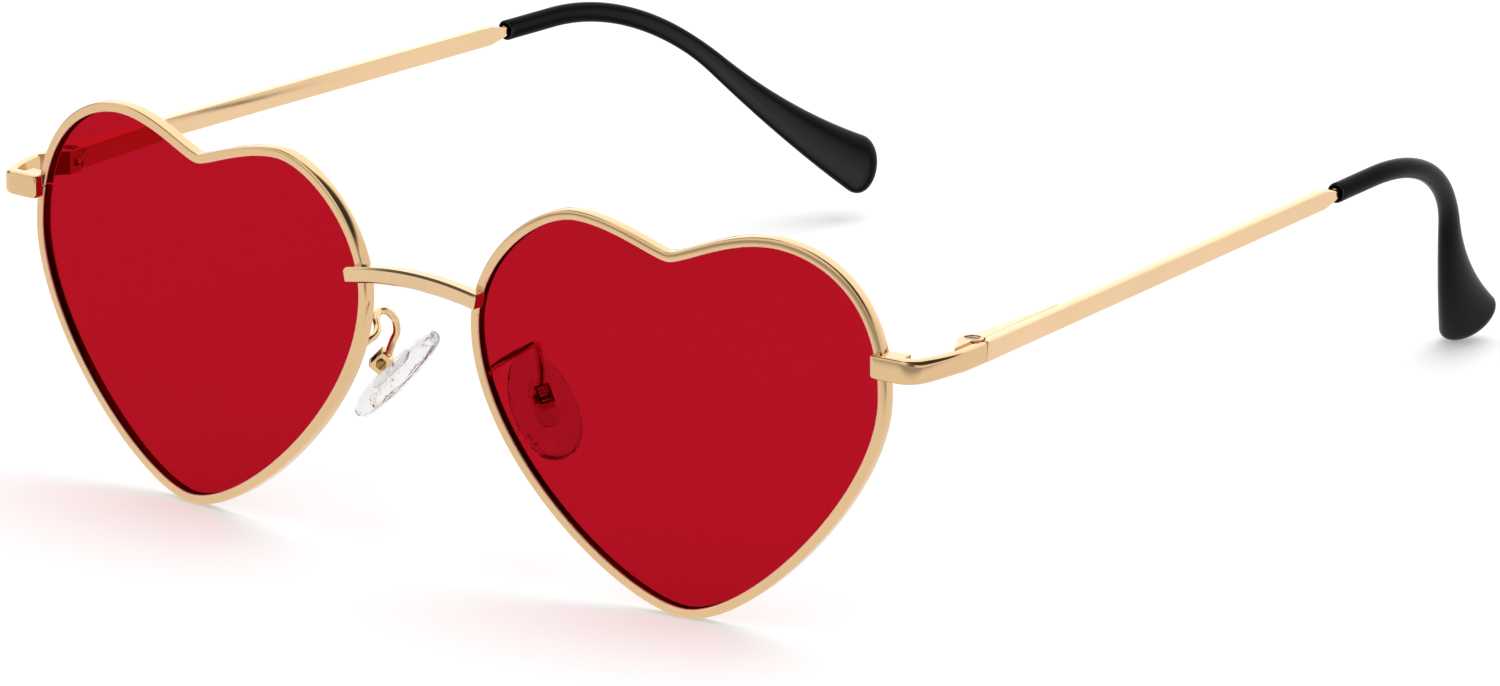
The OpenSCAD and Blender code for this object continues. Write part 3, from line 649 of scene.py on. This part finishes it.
def bent_strap(word, materials):
    """The end piece: a plate on the rim, bent round the corner and back to the hinge."""
    mean_h = (PLATE_H + STRAP_H) / 2
    upper = [
        (plate_end.x, PLATE_H / 2), (corner_mid.x, mean_h / 2),
        (corner_mid.x + CORNER_R, STRAP_H / 2),
    ]
    lower = [
        (plate_end.x, PLATE_CUT - PLATE_H / 2), (plate_end.x + PLATE_CUT, -PLATE_H / 2),
        (corner_mid.x, -PLATE_H * SAG_SHARE), (corner_mid.x + CORNER_R, -PLATE_H * SAG_SHARE),
        (seam.x + SEAM_GAP, -STRAP_H / 2),
    ]
    rings = []
    for spot, out, shrink, edge_r in strap_stations():
        thick = beside_knuckle((spot - hinge_spot).dot(temple_way), STRAP_T)
        low, high = height_at(spot.x, lower), height_at(spot.x, upper)
        ring = []
        for depth, z in bar_section(low, high, thick, shrink, edge_r):
            p = spot - (depth + SKIN_INSET) * out
            ring.append(place((p.x, p.y, hinge_z + z), SIDES[word]))
        rings.append(ring)
    return mesh_piece("bent_strap_" + word, skin(rings), "front", "end_piece_" + word, materials)


# Tip sleeves, and the hook shaped line that they share with the temples' cores
strip_middle = HINGE_INSET - STRIP_T / 2
bend_y = STRIP_LEN + TIP_STRAIGHT


def hook_to_glasses(x, y, z):
    """From the hook frame, where the bend starts and whose plane leans towards the head."""
    c, s = cos(HOOK_LEAN), sin(HOOK_LEAN)
    return hinge_to_glasses(strip_middle + x * c + z * s, bend_y + y, z * c - x * s)


def cap_share(u):
    """Size of the cap's section as a share of the full one, u from its start to its end."""
    return math.sqrt(max(1 - max(u, 0) ** CAP_POWER, 0))


def tail_radius():
    """Radius of the tail's upward curve, for a left tip that just stands on the table."""
    end = BEND[LEFT] - TAIL_ANGLE
    fall = cos(end) * cos(HOOK_LEAN)
    tall = cos(TWIST[LEFT]) * fall - sin(TWIST[LEFT]) * sin(HOOK_LEAN)
    thick = sin(TWIST[LEFT]) * fall + cos(TWIST[LEFT]) * sin(HOOK_LEAN)
    across = math.hypot(PADDLE_HH * tall, PADDLE_HT * thick)
    along = PADDLE_END * sin(end) * cos(HOOK_LEAN)
    reach = [k / FOOT_STEPS for k in range(FOOT_STEPS + 1)]
    foot = FOOT_GAP + max(across * cap_share(u) + along * u for u in reach)
    drop = (hinge_z - foot) / cos(HOOK_LEAN)
    chord = (drop - BEND_R * (1 - cos(BEND[LEFT]))) / sin(BEND[LEFT] - TAIL_ANGLE / 2)
    return chord / (2 * sin(TAIL_ANGLE / 2))


tail_r = tail_radius()
tail_len = math.radians(TAIL_ANGLE) * tail_r


class Hook:
    """One tip's middle line and its cross sections, by distance from the start of the bend."""

    def __init__(self, side):
        self.side = side
        self.bend = BEND[side]
        self.arc = BEND_R * math.radians(self.bend)
        self.end = self.arc + tail_len
        self.core_end = self.arc + tail_len * CORE_TAIL_SHARE

    def angle(self, s):
        if s < 0:
            return 0
        if s < self.arc:
            return math.degrees(s / BEND_R)
        return self.bend - math.degrees((s - self.arc) / tail_r)

    def point(self, s):
        if s < 0:
            return Vector((0, s, 0))
        a, b = self.angle(s), self.bend
        if s < self.arc:
            return BEND_R * Vector((0, sin(a), cos(a) - 1))
        turn = tail_r * Vector((0, sin(b) - sin(a), cos(b) - cos(a)))
        return BEND_R * Vector((0, sin(b), cos(b) - 1)) + turn

    def ring(self, s, hh, ht, turn=0, sides=SLEEVE_SIDES):
        """The oval section at s, of half height hh and half thickness ht, turned on the line."""
        a = self.angle(s)
        up, across = Vector((0, sin(a), cos(a))), Vector((1, 0, 0))
        tall = cos(turn) * up + sin(turn) * across
        thick = cos(turn) * across - sin(turn) * up
        ring = []
        for i in range(sides):
            t = -360 * i / sides
            p = self.point(s) + ht * cos(t) * thick + hh * sin(t) * tall
            ring.append(place(hook_to_glasses(*p), self.side))
        return ring

    def grow(self, s):
        """How far the sleeve has grown into its broad end, from 0 to 1."""
        start = GROW_SHARE * self.arc
        share = min(max((s - start) / (self.end - start), 0), 1)
        return share**GROW_POWER

    def outer(self, s, shrink=0):
        """The sleeve's outer section at s."""
        g, u = self.grow(s), (s - self.end) / (PADDLE_END * sin(CAP_TURN))
        c = cap_share(u)
        shrink += TIP_INSET * g
        hh = (between(SLEEVE_HH, PADDLE_HH, g) - shrink) * c
        ht = (between(SLEEVE_HT, PADDLE_HT, g) - shrink) * c
        return self.ring(s, hh, ht, TWIST[self.side] * g)


def flat_temple(word, materials):
    """The flat strip with rounded edges, and the round core that goes on inside the sleeve."""
    hook = Hook(SIDES[word])
    root, taper = STRIP_H / 2, STRIP_LEN - STRIP_TAPER
    nose = root * STRIP_NOSE_SHARE
    sunk = STRIP_LEN + STRIP_SINK
    heights = [
        (0, root), (taper, root * STRIP_END_SHARE), (STRIP_LEN, nose),
        (sunk, nose * STRIP_SUNK_SHARE),
    ]
    stops = [SEAM_R + HOLLOW_STEP * k for k in range(HOLLOW_STEPS)]
    stops += [between(HOLLOW_REACH, taper, k / STRIP_STEPS) for k in range(STRIP_STEPS + 1)]
    stops += [between(taper, STRIP_LEN, k / TAPER_STEPS) for k in range(1, TAPER_STEPS + 1)]
    rings = []
    for y, shrink in end_rounding(SEAM_R) + [(y, 0) for y in [*stops, sunk]]:
        half = height_at(y, heights)
        section = bar_section(
            -half, half, beside_knuckle(y, STRIP_T), shrink, min(STRIP_EDGE_R, half / 2)
        )
        spots = [hinge_to_glasses(HINGE_INSET - SKIN_INSET - d, y, z) for d, z in section]
        rings.append([place(p, SIDES[word]) for p in spots])
    start = STRIP_LEN - bend_y
    core = [
        hook.ring(between(start, hook.core_end, k / CORE_STEPS), CORE_R, CORE_R, sides=CORE_SIDES)
        for k in range(CORE_STEPS + 1)
    ]
    shape = joined(skin(rings), skin(core))
    return mesh_piece("flat_temple_" + word, shape, word + "_temple", "temple_" + word, materials)


def sleeve(word, materials):
    """The tip sleeve: its bore and mouth inside, and its outside that grows into a broad end."""
    hook = Hook(SIDES[word])
    start = STRIP_LEN + 2 * SEAM_GAP - bend_y
    bore_r = CORE_R + BORE_FIT
    first, last = start + MOUTH_DEPTH + MOUTH_R - bore_r, hook.core_end + bore_r
    rings = [
        hook.ring(between(first, last, k / BORE_STEPS), bore_r, bore_r)
        for k in range(BORE_STEPS, -1, -1)
    ]
    rings += [hook.ring(s, MOUTH_R, MOUTH_R) for s in (start + MOUTH_DEPTH, start)]
    rings += [
        hook.outer(start + MOUTH_ROUND * (1 - cos(a)), MOUTH_ROUND / 2 * (1 - sin(a)))
        for a in MOUTH_ANGLES
    ]
    rings += [
        hook.outer(between(start + MOUTH_ROUND, hook.end, k / SLEEVE_STEPS))
        for k in range(SLEEVE_STEPS)
    ]
    reach = PADDLE_END * sin(CAP_TURN) - CAP_SHORT
    rings += [hook.outer(hook.end + reach * sin(a)) for a in range(0, 90, CAP_STEP)]
    return mesh_piece(
        "sleeve_" + word, skin(rings), word + "_temple", "temple_tip_" + word, materials,
        SLEEVE_SHARP,
    )


# Nose pads and their arms
pad_pos = Vector((PAD_SPACING / 2, nose_y + PAD_BACK, RIM_W + PAD_LEVEL_SHARE * LENS_W))


def pad_to_glasses(x, y, z):
    """From the pad frame: origin in its middle, X down along it, Z towards the lens."""
    y, z = y * cos(PAD_ROLL) - z * sin(PAD_ROLL), y * sin(PAD_ROLL) + z * cos(PAD_ROLL)
    qx, qy, qz = z, y, -x
    cx = qx * cos(PAD_CANT) - qz * sin(PAD_CANT)
    cz = qx * sin(PAD_CANT) + qz * cos(PAD_CANT)
    return pad_pos + Vector(
        (cx * cos(PAD_SPLAY) + qy * sin(PAD_SPLAY), qy * cos(PAD_SPLAY) - cx * sin(PAD_SPLAY), cz)
    )


def nose_pad(word, materials):
    """A thin egg shaped pad of solid silicone with a round rim."""
    rings = []
    for k in range(PAD_STEPS + 1):
        a = between(-PAD_TURN, PAD_TURN, k / PAD_STEPS)
        x = PAD_LEN / 2 * sin(a) / sin(PAD_TURN)
        half_w = PAD_W / 2 * cos(a) ** PAD_W_POWER * (1 + PAD_SWELL_SHARE * sin(a))
        half_t = PAD_T / 2 * cos(a) ** PAD_T_POWER
        turns = [360 * i / PAD_SIDES for i in range(PAD_SIDES)]
        ring = [pad_to_glasses(x, half_w * cos(t), half_t * sin(t)) for t in turns]
        rings.append([place(p, SIDES[word]) for p in ring])
    return mesh_piece("soft_pad_" + word, skin(rings), word + "_pad", "nose_pad_" + word, materials)


def spline(points, i, t):
    """A point of the smooth curve through the points, at t on the way from point i to the next."""
    n = len(points) - 1
    a, b, c, d = points[max(i - 1, 0)], points[i], points[i + 1], points[min(i + 2, n)]
    return 0.5 * (
        2 * b + (c - a) * t + (2 * a - 5 * b + 4 * c - d) * t * t
        + (3 * b - a - 3 * c + d) * t**3
    )


def wire_line():
    """Points of the pad arm's middle line, from the rim's back over its loop into the box."""
    reach = LENS_W * WIRE_ACROSS_SHARE + RIM_W / 2
    foot_y = lens_y - reach * sin(FACE_WRAP) + side_sag + rim_d / 2
    foot = Vector((lens_x - reach * cos(FACE_WRAP), foot_y, RIM_W + LENS_W * WIRE_LEVEL_SHARE))
    seat = pad_to_glasses(-BOX_LEN / 2, 0, BOX_POS)
    way = seat - foot
    stops = [
        foot + Vector((x * way.x, y * way.y, z * way.z + rise * WIRE_RISE))
        for x, y, z, rise in WIRE_SHARES
    ]
    line = [
        spline(stops, i, k / WIRE_STEPS) for i in range(len(stops) - 1) for k in range(WIRE_STEPS)
    ]
    return [*line, stops[-1], between(seat, pad_to_glasses(0, 0, BOX_POS), WIRE_SINK_SHARE)]


def pad_arm(word, materials):
    """The round wire that carries the pad box."""
    line = wire_line()
    turns = [360 * i / WIRE_SIDES for i in range(WIRE_SIDES)]
    rings = []
    for before, spot, after in zip([line[0], *line], line, [*line[1:], line[-1]]):
        run = (after - before).normalized()
        u = run.cross(WIRE_SIDE).normalized()
        w = run.cross(u)
        ring = [spot + WIRE_R * (cos(t) * u + sin(t) * w) for t in turns]
        rings.append([place(p, SIDES[word]) for p in ring])
    return mesh_piece("wire_arm_" + word, skin(rings), "front", "pad_arm_" + word, materials)


# Materials
def linear(hex_colour):
    """An sRGB hex colour as linear red, green, blue and alpha."""
    channels = [int(hex_colour[i:i + 2], 16) / 255 for i in (0, 2, 4)]
    low, high = 0.04045, 2.4
    return [c / 12.92 if c <= low else ((c + 0.055) / 1.055) ** high for c in channels] + [1]


class Nodes:
    """The node tree of a new material or world, with short calls to add nodes and wire them."""

    def __init__(self, owner, output="ShaderNodeOutputMaterial"):
        owner.use_nodes = True
        self.owner = owner
        self.tree = owner.node_tree
        self.tree.nodes.clear()
        self.output = self.add(output)

    def add(self, kind, inputs=(), **settings):
        """A node with its settings, and each input linked or set."""
        node = self.tree.nodes.new(kind)
        for key, value in settings.items():
            setattr(node, key, value)
        for key, value in dict(inputs).items():
            if isinstance(value, bpy.types.NodeSocket):
                self.tree.links.new(value, node.inputs[key])
            else:
                node.inputs[key].default_value = value
        return node

    def calc(self, operation, a, b):
        return self.add("ShaderNodeMath", {0: a, 1: b}, operation=operation).outputs[0]

    def along(self, spot, way):
        """How far spot lies along a way."""
        node = self.add("ShaderNodeVectorMath", {0: spot, 1: way}, operation="DOT_PRODUCT")
        return node.outputs["Value"]

    def noise(self, scale, stretch=EVEN):
        """Noise in the object's own place, stretched along an axis for a brushed grain."""
        spot = self.add("ShaderNodeTexCoord").outputs["Object"]
        mapped = self.add("ShaderNodeMapping", {"Vector": spot, "Scale": stretch})
        inputs = {"Vector": mapped.outputs[0], "Scale": scale, "Detail": NOISE_DETAIL}
        return self.add("ShaderNodeTexNoise", inputs).outputs["Fac"]

    def ranged(self, value, low, high, span=NOISE_RANGE, **settings):
        """A value that goes from low to high while the given one goes through the span."""
        inputs = {
            "Value": value, "From Min": span[0], "From Max": span[1],
            "To Min": low, "To Max": high,
        }
        return self.add("ShaderNodeMapRange", inputs, **settings).outputs["Result"]

    def tinted(self, cloud, hex_colour, shares):
        """The colour, a little darker and lighter with the noise."""
        dark, light = [[c * share for c in linear(hex_colour)[:3]] + [1] for share in shares]
        inputs = {0: self.ranged(cloud, 0, 1), 6: dark, 7: light}
        return self.add("ShaderNodeMix", inputs, data_type="RGBA").outputs[2]

    def bump(self, height, strength, distance):
        inputs = {"Height": height, "Strength": strength, "Distance": distance * MM}
        return self.add("ShaderNodeBump", inputs).outputs["Normal"]

    def shaders(self, share, first, second):
        """The first shader, with that share of the second."""
        inputs = {0: share, 1: first.outputs[0], 2: second.outputs[0]}
        return self.add("ShaderNodeMixShader", inputs)

    def seen(self):
        """1 for what the camera sees itself or through clear plastic, and 0 for the rest."""
        path = self.add("ShaderNodeLightPath").outputs
        return self.calc("MAXIMUM", path["Is Camera Ray"], path["Is Transmission Ray"])

    def mirrored(self):
        """1 for what a polished face mirrors, and 0 for the rest."""
        return self.add("ShaderNodeLightPath").outputs["Is Glossy Ray"]

    def finish(self, shader):
        self.tree.links.new(shader.outputs[0], self.output.inputs["Surface"])
        return self.owner


def gold_metal(name, colour, roughness, stretch=EVEN, bump=METAL_BUMP):
    """Plated metal with a fine grain along the piece and slightly uneven polish."""
    nodes = Nodes(bpy.data.materials.new(name))
    grain = nodes.noise(METAL_GRAIN_SCALE, stretch)
    low, high = METAL_ROUGH_SHARES
    inputs = {
        "Base Color": nodes.tinted(nodes.noise(METAL_CLOUD_SCALE), colour, METAL_TINT_SHARES),
        "Metallic": 1,
        "Roughness": nodes.ranged(grain, roughness * low, roughness * high),
        "Normal": nodes.bump(grain, bump, METAL_BUMP_D),
    }
    return nodes.finish(nodes.add("ShaderNodeBsdfPrincipled", inputs))


def one_face(hex_colour):
    """What one of the lens's two faces passes, for that colour through both."""
    return [math.sqrt(c) for c in linear(hex_colour)[:3]] + [1]


def lens_material():
    """Clear tinted plastic: each face passes the square root of the tint and shines a little."""
    nodes = Nodes(bpy.data.materials.new("lens_red"))
    looked = nodes.add("ShaderNodeBsdfTransparent", {"Color": one_face(LENS_TINT)})
    lit = nodes.add("ShaderNodeBsdfTransparent", {"Color": one_face(LENS_SHADE)})
    shadow = nodes.add("ShaderNodeLightPath").outputs["Is Shadow Ray"]
    polish = nodes.ranged(nodes.noise(LENS_CLOUD_SCALE), *LENS_ROUGHNESS)
    gloss = nodes.add("ShaderNodeBsdfGlossy", {"Color": WHITE, "Roughness": polish})
    fresnel = nodes.add("ShaderNodeFresnel", {"IOR": LENS_SHINE_IOR}).outputs[0]
    shine = nodes.ranged(fresnel, *LENS_SHINE, (0, 1))
    return nodes.finish(nodes.shaders(shine, nodes.shaders(shadow, looked, lit), gloss))


def clear_material(name, colour, roughness, ior, ripple):
    """Clear plastic with an uneven surface."""
    nodes = Nodes(bpy.data.materials.new(name))
    cloud = nodes.noise(ripple)
    low, high = CLEAR_ROUGH_SHARES
    inputs = {
        "Base Color": linear(colour), "Transmission Weight": 1, "IOR": ior,
        "Roughness": nodes.ranged(cloud, roughness * low, roughness * high),
        "Normal": nodes.bump(cloud, CLEAR_BUMP, CLEAR_BUMP_D),
    }
    return nodes.finish(nodes.add("ShaderNodeBsdfPrincipled", inputs))


def tip_material():
    """Black moulded plastic, whose satin shine is strongest where it faces the eye."""
    nodes = Nodes(bpy.data.materials.new("tip_black"))
    cloud = nodes.noise(TIP_CLOUD_SCALE)
    facing = nodes.add("ShaderNodeLayerWeight", {"Blend": 0.5}).outputs["Facing"]
    inputs = {
        "Base Color": nodes.tinted(cloud, TIP_BLACK, TIP_TINT_SHARES),
        "Roughness": nodes.ranged(cloud, *TIP_ROUGHNESS),
        "Specular IOR Level": nodes.ranged(facing, *TIP_SHINE, TIP_SHINE_SPAN),
        "Normal": nodes.bump(nodes.noise(TIP_GRAIN_SCALE), TIP_BUMP, TIP_BUMP_D),
    }
    return nodes.finish(nodes.add("ShaderNodeBsdfPrincipled", inputs))


def soften(node, width):
    """Rounds a CAD node's sharp edges in the view, without moving its own points."""
    for polygon in node.data.polygons:
        polygon.use_smooth = True
    weld = node.modifiers.new("weld", "WELD")
    weld.merge_threshold = NODE_WELD * MM
    flat = node.modifiers.new("flat", "DECIMATE")
    flat.decimate_type = "DISSOLVE"
    flat.angle_limit = math.radians(NODE_FLAT)
    bevel = node.modifiers.new("edges", "BEVEL")
    bevel.width = width * MM
    bevel.segments = BEVEL_STEPS
    bevel.limit_method = "ANGLE"
    bevel.angle_limit = math.radians(BEVEL_ANGLE)
    bevel.miter_outer = "MITER_ARC"
    bevel.use_clamp_overlap = True
    normals = node.modifiers.new("normals", "WEIGHTED_NORMAL")
    normals.keep_sharp = False
    normals.weight = FLAT_WEIGHT


# The rim and plate golds are darker and the bridge and strip golds lighter, as painted shade and
# painted light of how light falls on each part
gold = gold_metal("gold_rim", GOLD_RIM, 0.09)
# The lip's paler, pinker gold is a painted highlight
gold_lip_highlight = gold_metal("gold_lip_highlight", GOLD_LIP_HIGHLIGHT, 0.5)
gold_bridge = gold_metal("gold_bridge", GOLD_BRIDGE, 0.1, ALONG_X, BRUSHED_BUMP)
gold_plate = gold_metal("gold_plate", GOLD_RIM, 0.1, ALONG_XY, BRUSHED_BUMP)
gold_strip = gold_metal("gold_strip", GOLD_STRIP, 0.12, ALONG_Y, BRUSHED_BUMP)
gold_screw = gold_metal("gold_screw", GOLD_SCREW, 0.08)
# The screws' darker gold is painted shade
gold_screw_shade = gold_metal("gold_screw_shade", GOLD_SCREW_SHADE, 0.15)
lens_red = lens_material()
pad_clear = clear_material("pad_clear", PAD_CLEAR, 0.05, 1.36, PAD_RIPPLE_SCALE)
insert_clear = clear_material("insert_clear", INSERT_CLEAR, 0.08, 1.45, INSERT_RIPPLE_SCALE)
tip_black = tip_material()

# The nodes that stay in view: their material and the width of their bevels
node_looks = {
    "bridge": (gold_bridge, 0.22),
    "rim_lock_upper": (gold, 0.08),
    "rim_lock_lower": (gold, 0.08),
    "rim_lock_screw": (gold_screw, 0.06),
    "hinge_front": (gold, 0.08),
    "hinge_rear": (gold_strip, 0.06),
    # The screws get the darker gold, which paints shade on them
    "hinge_screw": (gold_screw_shade, 0.05),
    "pad_box": (gold, 0.06),
    "pad_screw": (gold_screw_shade, 0.05),
    "pad_insert": (insert_clear, 0),
}

for name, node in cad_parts.items():
    kind = name.removesuffix("_left").removesuffix("_right")
    if kind in node_looks:
        material, width = node_looks[kind]
        node.data.materials.clear()
        node.data.materials.append(material)
        if width:
            soften(node, width)

for word in SIDES:
    rim(word, [gold, gold_lip_highlight])
    bent_strap(word, [gold_plate])
    flat_temple(word, [gold_strip])
    lens(word, [lens_red])
    pad_arm(word, [gold_screw])
    nose_pad(word, [pad_clear])
    sleeve(word, [tip_black])


# Table, light and camera
def table_material():
    """White that keeps a faint shadow, and that polished metal mirrors darker at the front."""
    nodes = Nodes(bpy.data.materials.new("table_white"))
    diffuse = nodes.add("ShaderNodeBsdfDiffuse", {"Color": FLOOR_COLOUR})
    white = nodes.add("ShaderNodeEmission", {"Color": WHITE, "Strength": 1})
    share = nodes.calc("MULTIPLY", nodes.seen(), FLOOR_WHITE_SHARE)
    shown = nodes.shaders(share, diffuse, white)
    spot = nodes.add("ShaderNodeTexCoord").outputs["Object"]
    level = nodes.ranged(nodes.along(spot, FLOOR_DIM_WAY), 1, FLOOR_DIM_LEVEL, FLOOR_DIM_RANGE)
    dimmed = nodes.add("ShaderNodeEmission", {"Color": WHITE, "Strength": level})
    return nodes.finish(nodes.shaders(nodes.mirrored(), shown, dimmed))


def table():
    """A wide flat table just under the glasses."""
    mesh = bpy.data.meshes.new("table")
    z = cad_box[0][2] - FLOOR_DROP
    corners = [(-1, -1), (1, -1), (1, 1), (-1, 1)]
    points = [(FLOOR_HALF * x, FLOOR_HALF * y, z) for x, y in corners]
    mesh.from_pydata(points, [], [(0, 1, 2, 3)])
    mesh.materials.append(table_material())
    top = bpy.data.objects.new("table", mesh)
    bpy.context.scene.collection.objects.link(top)


def studio():
    """An even white room; polished faces mirror it with a bright backdrop and dark patches."""
    world = bpy.data.worlds.new("studio")
    bpy.context.scene.world = world
    nodes = Nodes(world, "ShaderNodeOutputWorld")
    way = nodes.add("ShaderNodeTexCoord").outputs["Generated"]

    def lobe(direction, inner, outer):
        """1 within inner degrees of a direction, 0 beyond outer degrees."""
        near = nodes.along(way, Vector(direction).normalized())
        span = (cos(outer), cos(inner))
        return nodes.ranged(near, 0, 1, span, interpolation_type="SMOOTHSTEP")

    def backdrop(level):
        return nodes.add("ShaderNodeBackground", {"Color": WHITE, "Strength": level})

    gain = nodes.calc("MULTIPLY", lobe(BACKDROP_WAY, *BACKDROP_ANGLES), BACKDROP_GAIN)
    level = nodes.calc("ADD", gain, ROOM_LEVEL)
    for direction, inner, outer, depth in DARK_PATCHES:
        shaded = nodes.calc("MULTIPLY", lobe(direction, inner, outer), -depth)
        level = nodes.calc("MULTIPLY", nodes.calc("ADD", shaded, 1), level)
    light = nodes.shaders(nodes.mirrored(), backdrop(ROOM_LEVEL), backdrop(level))
    nodes.finish(nodes.shaders(nodes.seen(), light, backdrop(1)))


def key_light():
    """A wide soft lamp overhead, for short soft shadows, that polished faces don't mirror."""
    lamp = bpy.data.lights.new("key", "AREA")
    lamp.shape = "DISK"
    lamp.size = LAMP_SIZE
    lamp.energy = LAMP_POWER
    light = bpy.data.objects.new("key", lamp)
    light.location = Vector(LAMP_PLACE)
    light.rotation_euler = (-light.location).to_track_quat("-Z", "Y").to_euler()
    light.visible_glossy = False
    bpy.context.scene.collection.objects.link(light)


def camera():
    """The photograph's camera."""
    a, e = CAMERA_AZIMUTH, CAMERA_ELEVATION
    back = Vector((sin(a) * cos(e), -cos(a) * cos(e), sin(e)))
    right = Vector((cos(a), sin(a), 0))
    up = back.cross(right)
    spot = CAMERA_TARGET + CAMERA_DISTANCE * back + CAMERA_SHIFT[0] * right + CAMERA_SHIFT[1] * up
    rolled = right * cos(CAMERA_ROLL) + up * sin(CAMERA_ROLL)
    upright = up * cos(CAMERA_ROLL) - right * sin(CAMERA_ROLL)
    data = bpy.data.cameras.new("photo")
    data.sensor_width = SENSOR_W
    data.lens = CAMERA_FOCAL
    data.clip_end = CAMERA_RANGE
    taker = bpy.data.objects.new("photo", data)
    turn = Matrix((rolled, upright, back)).transposed()
    taker.matrix_world = Matrix.Translation(place(spot, LEFT)) @ turn.to_4x4()
    bpy.context.scene.collection.objects.link(taker)
    bpy.context.scene.camera = taker


table()
studio()
key_light()
camera()
bpy.context.scene.view_settings.view_transform = "Standard"
